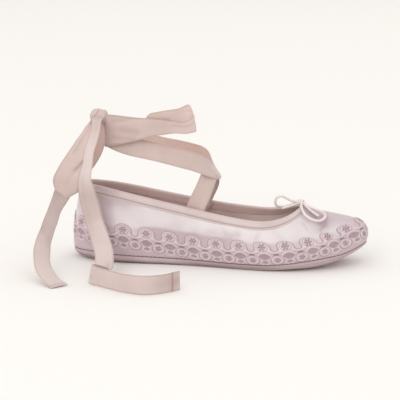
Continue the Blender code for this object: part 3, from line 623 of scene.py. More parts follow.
def close_up(mesh, weld=0.00002, sharp=50.0):
    """Merges doubled points, turns every face outwards and keeps only the hard edges sharp."""
    shape = bmesh.new()
    shape.from_mesh(mesh)
    bmesh.ops.remove_doubles(shape, verts=shape.verts, dist=weld)
    bmesh.ops.recalc_face_normals(shape, faces=shape.faces)
    shape.to_mesh(mesh)
    shape.free()
    mesh.shade_smooth()
    mesh.set_sharp_from_angle(angle=math.radians(sharp))
    return mesh


def join_meshes(name, meshes):
    """One mesh that holds several."""
    shape = bmesh.new()
    for mesh in meshes:
        shape.from_mesh(mesh)
    joined = bpy.data.meshes.new(name)
    shape.to_mesh(joined)
    shape.free()
    for mesh in meshes:
        bpy.data.meshes.remove(mesh)
    joined.shade_smooth()
    return joined


def add_piece(name, mesh, finish, slot, *nodes):
    """Puts a finished mesh in the scene as a piece of the shoe, standing for the named CAD nodes."""
    mesh.materials.clear()
    mesh.materials.append(finish)
    piece = bpy.data.objects.new(name, mesh)
    bpy.context.scene.collection.objects.link(piece)
    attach(piece, BODY)
    if nodes:
        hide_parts(*nodes)
    return piece


# ================================================================== ribbons, cords and knots
def ribbon_mesh(name, rows, samples, closed=False, square=True, gathers=(0.0, 0.0), pinch=0.42, crown=0.5,
                pleat=0.9, ripple=0.25, sag=0.0, hem=0.0, marks=(), across=17, reverse=0.0):
    """A flat ribbon along its rows, with raised selvedges, a slight crown, and pleats where it is gathered.

    An edge vector of 1 is half the ribbon's width; square turns each one square to the ribbon's path.
    """
    curve = closed_spline(rows, samples) if closed else open_spline(rows, samples)
    middle, edge = curve[:, :3], curve[:, 3:]
    along = np.roll(middle, -1, 0) - np.roll(middle, 1, 0) if closed else np.gradient(middle, axis=0)
    along = unit(along)
    spread = 1.0 if square else np.linalg.norm(edge, axis=1)[:, None]
    if square:
        edge = edge - along * (edge * along).sum(1)[:, None]
    edge = unit(edge)
    face = unit(np.cross(along, edge))
    run = distances(middle)[:, None]
    length = run[-1, 0]
    pulled = np.zeros_like(run)
    for reach, distance in zip(gathers, (run, length - run)):
        if reach:
            pulled = np.maximum(pulled, 1 - ease(distance, 0.0, reach))
    x = np.linspace(-1.0, 1.0, across)[None, :]
    from_middle = np.abs(x)
    half = sizes().ribbon_width / MM / 2 * spread * (1 - pinch * pulled)
    slow, quick = (2 * math.pi / length * turns for turns in BAND_WAVES) if closed else RIBBON_WAVES
    waves = np.sin(run * slow + 0.4) * x + QUICK_WAVE * np.sin(run * quick)
    pleats = 0.5 - 0.5 * np.cos(RIBBON_PLEATS * 2 * math.pi * x + 0.5 + run * 0.03)
    rise = crown * (1 - x ** 2) + ripple * waves * from_middle - 2 * pleat * pulled * pleats
    selvedge = fade(from_middle, SELVEDGE_WIDTH, SELVEDGE_PLACE)
    rounded = np.sqrt(np.clip(1 - from_middle ** RIBBON_EDGE_POWER, 0.0, 1.0))
    half_thickness = sizes().ribbon_thickness / MM / 2
    body = half_thickness * (1 + SELVEDGE_RAISE * selvedge) * rounded + RIBBON_EDGE
    # tone: darker selvedges, and painted shade in the pleats and in the pressed troughs
    tone = SELVEDGE_RAISE * selvedge + RIBBON_SHADE * pleat * pulled * pleats
    for row in marks:
        pressed = mark_depth(run, half * x, row)
        rise = rise - pressed
        tone = tone + RIBBON_SHADE * np.clip(pressed, 0.0, 1.0)
    if hem:
        fold = length - hem
        body = body * (1 + HEM_RAISE * ease(run, fold - HEM_STEP, fold + HEM_STEP))
        tone = tone + fade(run, HEM_LINE, fold)
    sides = middle[:, None, :] + edge[:, None, :] * (half * x)[..., None]
    if sag:
        sides[..., 2] -= sag * fade(run, SAG_REACH, run[np.argmin(middle[:, 2])]) * (1 - from_middle)
    upper, lower = (sides + face[:, None, :] * (rise + body * side)[..., None] for side in (1, -1))
    # reverse: how much of the inner face takes the lighter reverse colour, painted light where it lies in
    # shade
    fields = {
        "tone": np.clip(there_and_back(tone, tone, 1), 0.0, 1.0),
        "reverse": there_and_back(0 * tone, 0 * tone + reverse, 1),
    }
    mesh = grid_mesh(name, there_and_back(upper, lower, 1), fields, wrap_rows=closed, capped=not closed)
    return close_up(mesh), middle


def cord_mesh(name, rows, samples, diameter):
    """A round cord of twisted strands along its route, with blunt ends."""
    middle = open_spline(rows, samples)
    along = unit(np.gradient(middle, axis=0))
    side = unit(np.cross(along[0], (0.31, 0.2, 0.93)))
    frames = []
    for direction in along:
        side = unit(side - direction * (side @ direction))
        frames.append((side, np.cross(direction, side)))
    frames = np.array(frames)
    run = distances(middle)[:, None]
    turn = np.linspace(0.0, 2 * math.pi, CORD_SIDES, endpoint=False)[None, :]
    strand = np.cos(CORD_STRANDS * turn - run * CORD_TWIST)
    from_end = np.clip(np.minimum(run, run[-1, 0] - run) / (diameter / 2) + 0.08, 0.0, 1.0)
    blunt = np.sqrt(np.clip(1 - (1 - from_end) ** 2, 0.02, 1.0))
    radius = diameter / 2 * (CORD_BODY + CORD_STRAND * strand) * blunt
    spokes = np.cos(turn)[..., None] * frames[:, None, 0] + np.sin(turn)[..., None] * frames[:, None, 1]
    ring = middle[:, None, :] + radius[..., None] * spokes
    mesh = grid_mesh(name, ring, {"tone": CORD_GROOVE - CORD_GROOVE * strand}, capped=True)
    return close_up(mesh, weld=0.000001, sharp=70.0), middle


def wrapped_knot_mesh(name, centre, size):
    """A knot of ribbon: one flat turn wrapped round the gathered ends, with a few soft slanting folds."""
    rows, columns = KNOT_GRID
    turn = np.linspace(0.0, 2 * math.pi, columns, endpoint=False)[None, :]
    t = np.linspace(-1.0, 1.0, rows)[:, None]
    swell = np.clip(1 - np.abs(t) ** 5, 0.0, 1.0) ** 0.5 * (0.93 + 0.07 * t)
    squared = np.abs(np.cos(turn)) ** KNOT_SQUARENESS + np.abs(np.sin(turn)) ** KNOT_SQUARENESS
    slant = t + 0.32 * np.cos(turn + 0.5) + 0.12 * np.sin(2 * turn)
    folds = sum(height * fade(slant, width, at) for at, height, width in KNOT_FOLDS)
    radius = swell * (squared ** (-1 / KNOT_SQUARENESS) * 0.94 + folds)
    x = t * (1 + 0.08 * np.cos(turn + 2.6)) + 0.16 * np.cos(turn) * (1 - t ** 2)
    points = np.stack([x, radius * np.cos(turn), radius * np.sin(turn)], -1)
    points = np.array(centre) + points * np.array(size) / 2
    # tone: painted shade in the troughs and at both ends of the wrap
    creased = sum(fade(slant, KNOT_CREASE, at) for at, height, width in KNOT_FOLDS if height < 0)
    tone = np.clip(0.55 * creased + 0.8 * np.abs(t) ** 9, 0.0, 1.0)
    return close_up(grid_mesh(name, points, {"tone": tone}, capped=True), weld=0.00001, sharp=80.0)


# ================================================================== shader groups and finishes
def shared_group(name):
    """Makes a function build its node group once, under this name, and hand out the same one after that."""
    def wrap(build):
        @functools.wraps(build)
        def fetch():
            return bpy.data.node_groups.get(name) or build(name)
        return fetch
    return wrap


def new_group(kind, name, inputs, outputs):
    """A node group with named sockets: its tree, the sockets it is given and the sockets it gives back."""
    tree = bpy.data.node_groups.new(name, kind)
    for in_out, sockets in (("INPUT", inputs), ("OUTPUT", outputs)):
        for label, carries, *default in sockets:
            socket = tree.interface.new_socket(name=label, in_out=in_out, socket_type="NodeSocket" + carries)
            if default:
                socket.default_value = default[0]
    return tree, tree.nodes.new("NodeGroupInput").outputs, tree.nodes.new("NodeGroupOutput").inputs


def fill(tree, sockets, values):
    """Links each named socket to another one, or gives it a value."""
    for label, value in values.items():
        if isinstance(value, bpy.types.NodeSocket):
            tree.links.new(value, sockets[label])
        else:
            sockets[label].default_value = value


def node(tree, kind, inputs=None, **settings):
    """A node's outputs, after its settings are made and its named inputs are linked or set."""
    made = tree.nodes.new(kind)
    for setting, value in settings.items():
        setattr(made, setting, value)
    fill(tree, made.inputs, inputs or {})
    return made.outputs


def calc(tree, operation, first, second=0.0, clamp=False):
    """A Math node's result."""
    return node(tree, "ShaderNodeMath", {0: first, 1: second}, operation=operation, use_clamp=clamp)[0]


def times_plus(tree, value, factor, more):
    """A value times a factor, plus something more."""
    return calc(tree, "ADD", calc(tree, "MULTIPLY", value, factor), more)


def mix_colours(tree, mask, first, second):
    """The first colour where the mask is 0, and the second where it is 1."""
    return node(tree, "ShaderNodeMix", {0: mask, 6: first, 7: second}, data_type="RGBA")[2]


def noise(tree, vector, scale, **settings):
    """A noise texture's value; the settings are named as its sockets are."""
    inputs = {"Vector": vector, "Scale": scale}
    inputs.update({label.capitalize(): value for label, value in settings.items()})
    return node(tree, "ShaderNodeTexNoise", inputs)[0]


def soft_step(tree, value, low, high):
    """0 below low, 1 above high, and a smooth step between them."""
    return node(tree, "ShaderNodeMapRange", {"Value": value, "From Min": low, "From Max": high},
                interpolation_type="SMOOTHSTEP")[0]


def placed(tree, group, inputs):
    """A group node's outputs, with its inputs linked or set."""
    return node(tree, "ShaderNodeGroup", inputs, node_tree=group)


@shared_group("Woven threads")
def woven_threads_group(name):
    """Height of crossing threads, counted along and across the cloth."""
    tree, given, result = new_group(
        "ShaderNodeTree", name,
        (("Vector", "Vector"), ("Warp", "Float", 2500.0), ("Weft", "Float", 2500.0)),
        (("Height", "Float"),))
    parts = node(tree, "ShaderNodeSeparateXYZ", {0: given["Vector"]})
    threads = [calc(tree, "MULTIPLY", parts[axis], given[way]) for axis, way in enumerate(("Warp", "Weft"))]
    warp, weft = (calc(tree, "SINE", calc(tree, "MULTIPLY", count, 2 * math.pi)) for count in threads)
    crossing = calc(tree, "MULTIPLY", warp, weft)
    raised = times_plus(tree, crossing, 0.3, calc(tree, "MULTIPLY", weft, 0.2))
    fill(tree, result, {"Height": calc(tree, "ADD", raised, 0.5)})
    return tree


@shared_group("Cloudy tint")
def cloudy_tint_group(name):
    """A colour that drifts towards a second one in soft patches."""
    tree, given, result = new_group(
        "ShaderNodeTree", name,
        (("Vector", "Vector"), ("Colour", "Color"), ("Shade", "Color"), ("Scale", "Float", 30.0),
         ("Amount", "Float", 0.5)),
        (("Colour", "Color"), ("Cloud", "Float")))
    patches = noise(tree, given["Vector"], given["Scale"], detail=3.0, roughness=0.55)
    mask = calc(tree, "MULTIPLY", soft_step(tree, patches, 0.35, 0.68), given["Amount"])
    fill(tree, result, {"Colour": mix_colours(tree, mask, given["Colour"], given["Shade"]), "Cloud": mask})
    return tree


@shared_group("Deepened folds")
def deepened_folds_group(name):
    """A colour that deepens where the tone attribute marks a fold or groove, broken up a little: mostly
    painted shade.
    """
    tree, given, result = new_group(
        "ShaderNodeTree", name,
        (("Vector", "Vector"), ("Colour", "Color"), ("Deep", "Color"), ("Tone", "Float", 0.0),
         ("Scale", "Float", 900.0)),
        (("Colour", "Color"), ("Mask", "Float")))
    broken = times_plus(tree, noise(tree, given["Vector"], given["Scale"], detail=2.0), 0.5, 0.75)
    mask = calc(tree, "MULTIPLY", given["Tone"], broken, clamp=True)
    fill(tree, result, {"Colour": mix_colours(tree, mask, given["Colour"], given["Deep"]), "Mask": mask})
    return tree


@shared_group("Leather grain")
def leather_grain_group(name):
    """Height of fine leather grain, and a mask of where it is rubbed."""
    tree, given, result = new_group(
        "ShaderNodeTree", name,
        (("Vector", "Vector"), ("Scale", "Float", 900.0), ("Rub scale", "Float", 40.0)),
        (("Height", "Float"), ("Rub", "Float")))
    cells = node(tree, "ShaderNodeTexVoronoi", {"Vector": given["Vector"], "Scale": given["Scale"]})[0]
    fine = noise(tree, given["Vector"], given["Scale"], detail=4.0)
    rub = noise(tree, given["Vector"], given["Rub scale"], detail=5.0, roughness=0.6)
    height = times_plus(tree, cells, 0.6, fine)
    fill(tree, result, {"Height": height, "Rub": soft_step(tree, rub, 0.48, 0.72)})
    return tree


SLUB_SCALE = 420.0                # of the uneven thickness of a cloth's threads
WEAVE_SHARE = 0.6                 # of a cloth's relief, beside its slubs
CLOUD_ROUGHNESS = 0.10            # more, where a cloth's tint is clouded
SHEEN_ROUGHNESS = 0.45
RUB_SHADE = 0.35                  # how far rubbed leather turns to its shade
RUB_ROUGHNESS = 0.12              # more, where leather is rubbed
LEATHER_BUMP = 0.25
RELIEF_DISTANCE = 0.0002          # height in metres of a weave or a leather's grain
RIBBON_WEAVE = {"sheen": 0.35, "threads": (1500.0, 3200.0), "bump": 0.16, "patches": 36.0, "patchy": 0.6}


def solid(colour):
    """A colour property as red, green, blue and alpha."""
    return (*colour, 1.0)


def new_finish(name):
    """A new material, its node tree, and the sockets of its place on the piece and of the piece's tone."""
    material = bpy.data.materials.new(name)
    material.use_nodes = True
    tree = material.node_tree
    on_piece = node(tree, "ShaderNodeTexCoord")["Object"]
    tone = node(tree, "ShaderNodeAttribute", attribute_name="tone")["Fac"]
    return material, tree, on_piece, tone


def finish_shader(tree, on_piece, tone, face, deep, rough, height, bump):
    """Deepens the folds of a face colour with painted shade, and feeds the shader its colour, roughness and
    relief.
    """
    folds = placed(tree, deepened_folds_group(),
                   {"Vector": on_piece, "Colour": face, "Deep": solid(deep), "Tone": tone})
    relief = node(tree, "ShaderNodeBump", {"Height": height, "Strength": bump, "Distance": RELIEF_DISTANCE})
    shader = tree.nodes["Principled BSDF"].inputs
    fill(tree, shader, {"Base Color": folds["Colour"], "Roughness": rough, "Normal": relief[0]})
    return shader


def cloth_finish(name, colour, shade, deep, patches, reverse=None, roughness=0.42, sheen=0.25,
                 threads=(2600.0, 2600.0), bump=0.2, patchy=0.5, specular=0.5):
    """A woven cloth: threads along and across the piece, soft patches, and deeper folds."""
    if name in bpy.data.materials:
        return bpy.data.materials[name]
    material, tree, on_piece, tone = new_finish(name)
    lay = node(tree, "ShaderNodeUVMap", uv_map="weave")[0]
    weave = placed(tree, woven_threads_group(), {"Vector": lay, "Warp": threads[0], "Weft": threads[1]})
    tint = placed(tree, cloudy_tint_group(), {"Vector": on_piece, "Colour": solid(colour),
                                              "Shade": solid(shade), "Scale": patches, "Amount": patchy})
    face = tint["Colour"]
    if reverse:
        back = node(tree, "ShaderNodeAttribute", attribute_name="reverse")["Fac"]
        face = mix_colours(tree, back, face, solid(reverse))
    slubs = noise(tree, on_piece, SLUB_SCALE, detail=2.0)
    height = times_plus(tree, weave["Height"], WEAVE_SHARE, slubs)
    rough = times_plus(tree, tint["Cloud"], CLOUD_ROUGHNESS, roughness)
    shader = finish_shader(tree, on_piece, tone, face, deep, rough, height, bump)
    fill(tree, shader, {"Sheen Weight": sheen, "Sheen Roughness": SHEEN_ROUGHNESS,
                        "Specular IOR Level": specular})
    return material


def leather_finish(name, colour, shade, deep, roughness=0.6, grain=900.0):
    """A fine-grained leather with rubbed patches and deeper grooves."""
    if name in bpy.data.materials:
        return bpy.data.materials[name]
    material, tree, on_piece, tone = new_finish(name)
    skin = placed(tree, leather_grain_group(), {"Vector": on_piece, "Scale": grain})
    tint = placed(tree, cloudy_tint_group(), {"Vector": on_piece, "Colour": solid(colour),
                                              "Shade": solid(shade), "Scale": 45.0, "Amount": 0.6})
    rubbed = calc(tree, "MULTIPLY", skin["Rub"], RUB_SHADE)
    face = mix_colours(tree, rubbed, tint["Colour"], solid(shade))
    rough = times_plus(tree, skin["Rub"], RUB_ROUGHNESS, roughness)
    finish_shader(tree, on_piece, tone, face, deep, rough, skin["Height"], LEATHER_BUMP)
    return material


def pale_satin():
    tints = colours()
    return cloth_finish("pale satin", tints.satin, tints.satin_shade, tints.satin_deep, roughness=0.36,
                        threads=(3000.0, 1800.0), bump=0.10, patches=26.0, patchy=0.55)


def relief_weave():
    tints = colours()
    return cloth_finish("relief weave", tints.rim, tints.rim_shade, tints.rim_deep, sheen=0.20,
                        threads=(1700.0, 1700.0), bump=0.18, patches=60.0)


def petal_thread():
    tints = colours()
    return cloth_finish("petal thread", tints.petal, tints.petal_shade, tints.rim_deep, roughness=0.45,
                        threads=(2200.0, 2200.0), patches=80.0)


def binding_satin():
    tints = colours()
    return cloth_finish("binding satin", tints.binding, tints.binding_shade, tints.binding_deep,
                        reverse=tints.binding_reverse, roughness=0.40, bump=0.15, patches=40.0)


def ribbon_satin():
    tints = colours()
    return cloth_finish("ribbon satin", tints.ribbon, tints.ribbon_shade, tints.ribbon_deep,
                        reverse=tints.lit_ribbon_reverse, **RIBBON_WEAVE)


# a lighter copy of the ribbon's satin for the tails: painted light where they hang in the light
def lit_tail_satin():
    tints = colours()
    return cloth_finish("lit tail satin", tints.tail, tints.tail_shade, tints.ribbon_deep, **RIBBON_WEAVE)


def cord_weave():
    tints = colours()
    return cloth_finish("cord weave", tints.cord, tints.cord_shade, tints.cord_deep, roughness=0.45,
                        threads=(1800.0, 1800.0), bump=0.25, patches=120.0)


def sewing_thread():
    tints = colours()
    return cloth_finish("sewing thread", tints.thread, tints.thread, tints.cord_deep,
                        roughness=0.5, sheen=0.3, patches=200.0, patchy=0.3)


def dark_thread():
    tints = colours()
    return cloth_finish("dark thread", tints.feather_thread, tints.feather_thread, tints.rim_deep,
                        roughness=0.6, sheen=0.2, patches=200.0, patchy=0.3)


def lining_twill():
    tints = colours()
    return cloth_finish("lining twill", tints.lining, tints.lining_shade, tints.lining_deep, roughness=0.62,
                        sheen=0.15, threads=(1400.0, 1400.0), patches=30.0, patchy=0.6, specular=0.35)


def sole_leather():
    tints = colours()
    return leather_finish("sole leather", tints.sole, tints.sole_shade, tints.sole_deep, roughness=0.62)


def footbed_leather():
    tints = colours()
    return leather_finish("footbed leather", tints.insole, tints.insole_shade, tints.lining_deep,
                          roughness=0.55, grain=1100.0)


# ================================================================== geometry node trees
def scaled(tree, shape, x, y, z):
    """A shape stretched by a length, a width and a height."""
    measures = node(tree, "ShaderNodeCombineXYZ", {0: x, 1: y, 2: z})[0]
    return node(tree, "GeometryNodeTransform", {"Geometry": shape, "Scale": measures})[0]


def ball(tree, segments, rings):
    """A small round ball of diameter 1, to be scaled."""
    return node(tree, "GeometryNodeMeshUVSphere", {"Segments": segments, "Rings": rings, "Radius": 0.5})[0]


def sewn(tree, points, piece, thread, result, **settings):
    """Ends a tree: the piece on every point, made real, shaded smooth and given its thread."""
    inputs = {"Points": points, "Instance": piece}
    inputs.update({label.capitalize(): value for label, value in settings.items()})
    copies = node(tree, "GeometryNodeInstanceOnPoints", inputs)[0]
    whole = node(tree, "GeometryNodeRealizeInstances", {"Geometry": copies})[0]
    smooth_faces = node(tree, "GeometryNodeSetShadeSmooth", {"Geometry": whole})[0]
    dressed = node(tree, "GeometryNodeSetMaterial", {"Geometry": smooth_faces, "Material": thread})[0]
    fill(tree, result, {"Geometry": dressed})


@shared_group("Stitches along a line")
def stitches_tree(name):
    """Short stitches at an even pitch along a line."""
    tree, given, result = new_group(
        "GeometryNodeTree", name,
        (("Geometry", "Geometry"), ("Pitch", "Float", 0.0026), ("Length", "Float", 0.0017),
         ("Thickness", "Float", 0.0004), ("Unevenness", "Float", 0.08), ("Seed", "Int", 3),
         ("Thread", "Material")),
        (("Geometry", "Geometry"),))
    spots = node(tree, "GeometryNodeCurveToPoints", {"Curve": given["Geometry"], "Length": given["Pitch"]},
                 mode="LENGTH")
    stitch = scaled(tree, ball(tree, 8, 5), given["Length"], given["Thickness"], given["Thickness"])
    aim = node(tree, "FunctionNodeAlignRotationToVector", {"Vector": spots["Tangent"]}, axis="X")[0]
    low, high = (calc(tree, operation, 1.0, given["Unevenness"]) for operation in ("SUBTRACT", "ADD"))
    vary = node(tree, "FunctionNodeRandomValue", {2: low, 3: high, "Seed": given["Seed"]},
                data_type="FLOAT")[1]
    sewn(tree, spots["Points"], stitch, given["Thread"], result, rotation=aim, scale=vary)
    return tree


@shared_group("Rosettes on points")
def rosettes_tree(name):
    """A raised rosette of petals round a bead at each point, facing as the point's attributes say."""
    tree, given, result = new_group(
        "GeometryNodeTree", name,
        (("Geometry", "Geometry"), ("Petals", "Int", 6), ("Ring radius", "Float", 0.0024),
         ("Petal length", "Float", 0.0026), ("Petal width", "Float", 0.0015), ("Height", "Float", 0.0007),
         ("Bead", "Float", 0.0013), ("Thread", "Material")),
        (("Geometry", "Geometry"),))
    blank = ball(tree, 10, 6)
    petal = scaled(tree, blank, given["Petal length"], given["Petal width"], given["Height"])
    bead = scaled(tree, blank, given["Bead"], given["Bead"], given["Height"])
    ring = node(tree, "GeometryNodeMeshCircle",
                {"Vertices": given["Petals"], "Radius": given["Ring radius"]})[0]
    from_middle = node(tree, "GeometryNodeInputPosition")[0]
    spoke = node(tree, "FunctionNodeAlignRotationToVector", {"Vector": from_middle}, axis="X")[0]
    petals = node(tree, "GeometryNodeInstanceOnPoints",
                  {"Points": ring, "Instance": petal, "Rotation": spoke})[0]
    flower = tree.nodes.new("GeometryNodeJoinGeometry")
    for part in (petals, bead):
        tree.links.new(part, flower.inputs[0])
    facing, heading = (
        node(tree, "GeometryNodeInputNamedAttribute", {"Name": field}, data_type="FLOAT_VECTOR")[0]
        for field in ("facing", "heading")
    )
    upright = node(tree, "FunctionNodeAlignRotationToVector", {"Vector": facing}, axis="Z")[0]
    turned = node(tree, "FunctionNodeAlignRotationToVector", {"Rotation": upright, "Vector": heading},
                  axis="X", pivot_axis="Z")[0]
    sewn(tree, given["Geometry"], flower.outputs[0], given["Thread"], result, rotation=turned)
    return tree


def grown_mesh(name, source, tree, settings):
    """The plain mesh that a geometry node tree grows from a source object, which is then removed."""
    bpy.context.scene.collection.objects.link(source)
    grow = source.modifiers.new(name, "NODES")
    grow.node_group = tree
    sockets = {item.name: item.identifier for item in tree.interface.items_tree if item.in_out == "INPUT"}
    for label, value in settings.items():
        grow[sockets[label]] = value
    bpy.context.view_layer.update()
    grown = bpy.data.meshes.new_from_object(source.evaluated_get(bpy.context.evaluated_depsgraph_get()))
    grown.name = name
    source.modifiers.remove(grow)
    bpy.data.objects.remove(source)
    return grown


def line_object(name, points):
    """A curve object of one closed straight-sided spline through stations, to sew along."""
    curve = bpy.data.curves.new(name, "CURVE")
    curve.dimensions = "3D"
    spline = curve.splines.new("POLY")
    spline.points.add(len(points) - 1)
    for point, position in zip(spline.points, place(points)):
        point.co = (*position, 1.0)
    spline.use_cyclic_u = True
    return bpy.data.objects.new(name, curve)


def sew_stitches(name, points, thread, slot, pitch, length, thickness, seed):
    """Adds a piece of stitches, of sizes in metres, sewn along a closed line of stations."""
    settings = {"Pitch": pitch, "Length": length, "Thickness": thickness, "Seed": seed, "Thread": thread}
    mesh = grown_mesh(name, line_object(name + "_line", points), stitches_tree(), settings)
    add_piece(name, mesh, thread, slot)


# ================================================================== what a user may change
def length_property(name, description, default):
    """A length in metres, shown in the scene's units."""
    return bpy.props.FloatProperty(name=name, description=description, default=default, min=0.0, precision=5,
                                   subtype="DISTANCE", unit="LENGTH")


def colour_property(name, description, default):
    """A plain colour."""
    return bpy.props.FloatVectorProperty(name=name, description=description, default=default, size=3, min=0.0,
                                         max=1.0, subtype="COLOR")


def place_property(name, description, default):
    """A place in the scene."""
    return bpy.props.FloatVectorProperty(name=name, description=description, default=default, size=3,
                                         subtype="TRANSLATION", unit="LENGTH")


class BalletFlatSizes(bpy.types.PropertyGroup):
    """Sizes of the shoe's soft details."""

    binding_width: length_property("Binding width", "Height of the folded binding around the opening", 0.008)
    binding_puff: length_property("Binding puff", "How far the binding's cord makes it stand out", 0.0010)
    satin_thickness: length_property("Satin thickness", "Satin and stiffening of the upper", 0.0010)
    wall: length_property("Wall", "Satin, stiffening and lining together", 0.002)
    rim_relief: length_property("Rim relief", "How far the relief rim stands out from the satin", 0.00055)
    rim_pitch: length_property("Rim pitch", "Distance from one upper disc of the rim to the next", 0.0199)
    ribbon_width: length_property("Ribbon width", "Width of the ankle ribbon and its bow", 0.015)
    ribbon_thickness: length_property("Ribbon thickness", "Thickness of the doubled satin ribbon", 0.0005)
    hem: length_property("Hem", "Depth of the folded hem at a tail's end", 0.0078)
    cord_diameter: length_property("Cord diameter", "Diameter of the drawstring", 0.0022)
    stitch_pitch: length_property("Stitch pitch", "Distance from one binding stitch to the next", 0.0026)
    stitch_length: length_property("Stitch length", "Length of one binding stitch", 0.0017)
    thread: length_property("Thread", "Thickness of the sewing thread", 0.0004)


class BalletFlatColours(bpy.types.PropertyGroup):
    """Colours of the shoe's cloths, leathers and threads."""

    # each deep colour is what the tone mixes in: mostly painted shade in folds, creases, grooves and recesses
    satin: colour_property("Satin", "Upper's satin", (0.74, 0.69, 0.71))
    satin_shade: colour_property("Satin shade", "Softer patches of the satin", (0.68, 0.605, 0.62))
    satin_deep: colour_property("Satin deep", "Folds of the satin", (0.42, 0.295, 0.345))
    rim: colour_property("Rim", "Relief rim", (0.70, 0.582, 0.63))
    rim_shade: colour_property("Rim shade", "Softer patches of the rim", (0.635, 0.515, 0.56))
    rim_deep: colour_property("Rim deep", "Grooves of the rim", (0.27, 0.175, 0.2))
    petal: colour_property("Petals", "Rosettes of the rim", (0.33, 0.235, 0.265))
    petal_shade: colour_property("Petal shade", "Softer patches of the rosettes", (0.27, 0.185, 0.21))
    binding: colour_property("Binding", "Binding around the opening", (0.62, 0.52, 0.515))
    binding_shade: colour_property("Binding shade", "Softer patches of the binding", (0.545, 0.445, 0.44))
    binding_deep: colour_property("Binding deep", "Grooves of the binding", (0.38, 0.28, 0.265))
    binding_reverse: colour_property("Binding reverse", "Inner side of the binding", (0.66, 0.505, 0.49))
    ribbon: colour_property("Ribbon", "Ankle ribbon", (0.60, 0.475, 0.445))
    ribbon_shade: colour_property("Ribbon shade", "Softer patches of the ribbon", (0.525, 0.405, 0.375))
    # partly the matt inner face's own colour, partly painted light for inner faces that lie in shade
    lit_ribbon_reverse: colour_property("Ribbon reverse", "Matt inner face of the ribbon, lightened by painted light", (0.80, 0.60, 0.54))
    # the tails' colours are a lighter copy of the ribbon's, as painted light
    tail: colour_property("Tails", "Hanging tails of the ribbon", (0.68, 0.565, 0.545))
    tail_shade: colour_property("Tail shade", "Softer patches of the tails", (0.60, 0.485, 0.465))
    ribbon_deep: colour_property("Ribbon deep", "Folds of the ribbon", (0.36, 0.245, 0.225))
    cord: colour_property("Cord", "Drawstring", (0.9, 0.83, 0.83))
    cord_shade: colour_property("Cord shade", "Softer patches of the drawstring", (0.82, 0.73, 0.73))
    cord_deep: colour_property("Cord deep", "Grooves between the drawstring's strands", (0.45, 0.34, 0.335))
    thread: colour_property("Thread", "Binding stitches", (0.42, 0.30, 0.30))
    feather_thread: colour_property("Feather thread", "Stitches around the sole", (0.17, 0.125, 0.135))
    # the lining's colours are lightened as painted light for the shaded inside; its deep colour paints shade
    # toward the heel
    lining: colour_property("Lining", "Cloth inside the upper", (0.86, 0.74, 0.71))
    lining_shade: colour_property("Lining shade", "Softer patches of the lining", (0.77, 0.62, 0.58))
    lining_deep: colour_property("Lining deep", "Folds of the lining", (0.38, 0.22, 0.18))
    insole: colour_property("Insole", "Footbed leather", (0.62, 0.5, 0.47))
    insole_shade: colour_property("Insole shade", "Rubbed patches of the footbed", (0.54, 0.42, 0.39))
    sole: colour_property("Sole", "Outsole leather", (0.58, 0.455, 0.47))
    sole_shade: colour_property("Sole shade", "Rubbed patches of the outsole", (0.49, 0.375, 0.39))
    # sole_deep also paints the shade along the sole's edge and underneath
    sole_deep: colour_property("Sole deep", "Grooves of the outsole, and painted shade along its edges", (0.21, 0.145, 0.15))


def sizes():
    """The shoe's sizes, in the scene."""
    return bpy.context.scene.ballet_flat_sizes


def colours():
    """The shoe's colours, in the scene."""
    return bpy.context.scene.ballet_flat_colours


# ================================================================== the pieces
# Sizes are in millimetres where no other unit is given. LINES and ROWS count a grid's columns and rows.
SATIN_LINES = 600
SATIN_ROWS = 60
RIM_LINES = 1320
RIM_ROWS = 56
RIM_BACK = 0.30                   # of the rim, sunk into the satin
RIM_REACH = 22.0                  # of the rim, above the lifted feather edge
RIM_FOOT = 0.7                    # height over which the rim's relief comes in at its foot
RIM_FOOT_SINK = 0.25
RIM_SHADE_STEP = 4.5              # height over which the shade above the discs fades
RIM_GIRTH_HEIGHT = 11.0           # where the discs' pitch is measured
ROSETTE_HEIGHT = 0.55
ROSETTE = {"Ring radius": 2.35, "Petal length": 2.5, "Petal width": 1.45, "Bead": 1.5}
LOW_ROSETTE = {"Ring radius": 1.55, "Petal length": 1.7, "Petal width": 1.15, "Bead": 1.1}
TOE_CLOSING = 2.4                 # how far the discs beside the toe stand back from an even pitch
TOE_CLOSING_ANGLES = (146.0, 214.0)    # where they are, and their span, in degrees around the shoe
TOE_CLOSING_SPAN = 12.0
THROAT_SLIMMING = 0.17            # part of the binding's width that is missing at the throat
SLIMMING_SPAN = (28.0, 62.0)      # degrees from the throat over which it gets its full width back
BINDING_LINES = 720
BINDING_GATHERS = (97, 61)        # two overlaid counts of them around the opening
GATHER_HEIGHT = 0.025
THROAT_GATHER_HEIGHT = 0.07       # more, at the throat
THROAT_SPAN = 24.0                # in degrees around the shoe
COLLAR_DEPTH = 9.0                # of the upper's edge that the binding is laid on
COLLAR_STEP = 0.5
BINDING_SEAM = 1.9                # from the binding's lower edge up to its row of stitches
STITCH_STAND = 0.36               # how far the binding's stitches stand out from the satin
FOOT_HEIGHTS = (0.1, 0.25, 0.6)   # around the line of the feather edge's stitches
FEATHER_STAND = 0.12
FEATHER_STITCH = (0.0036, 0.0027)    # pitch and length, in metres
FEATHER_THICKNESS = 1.25          # of the sewing thread's
SOLE_LINES = 360
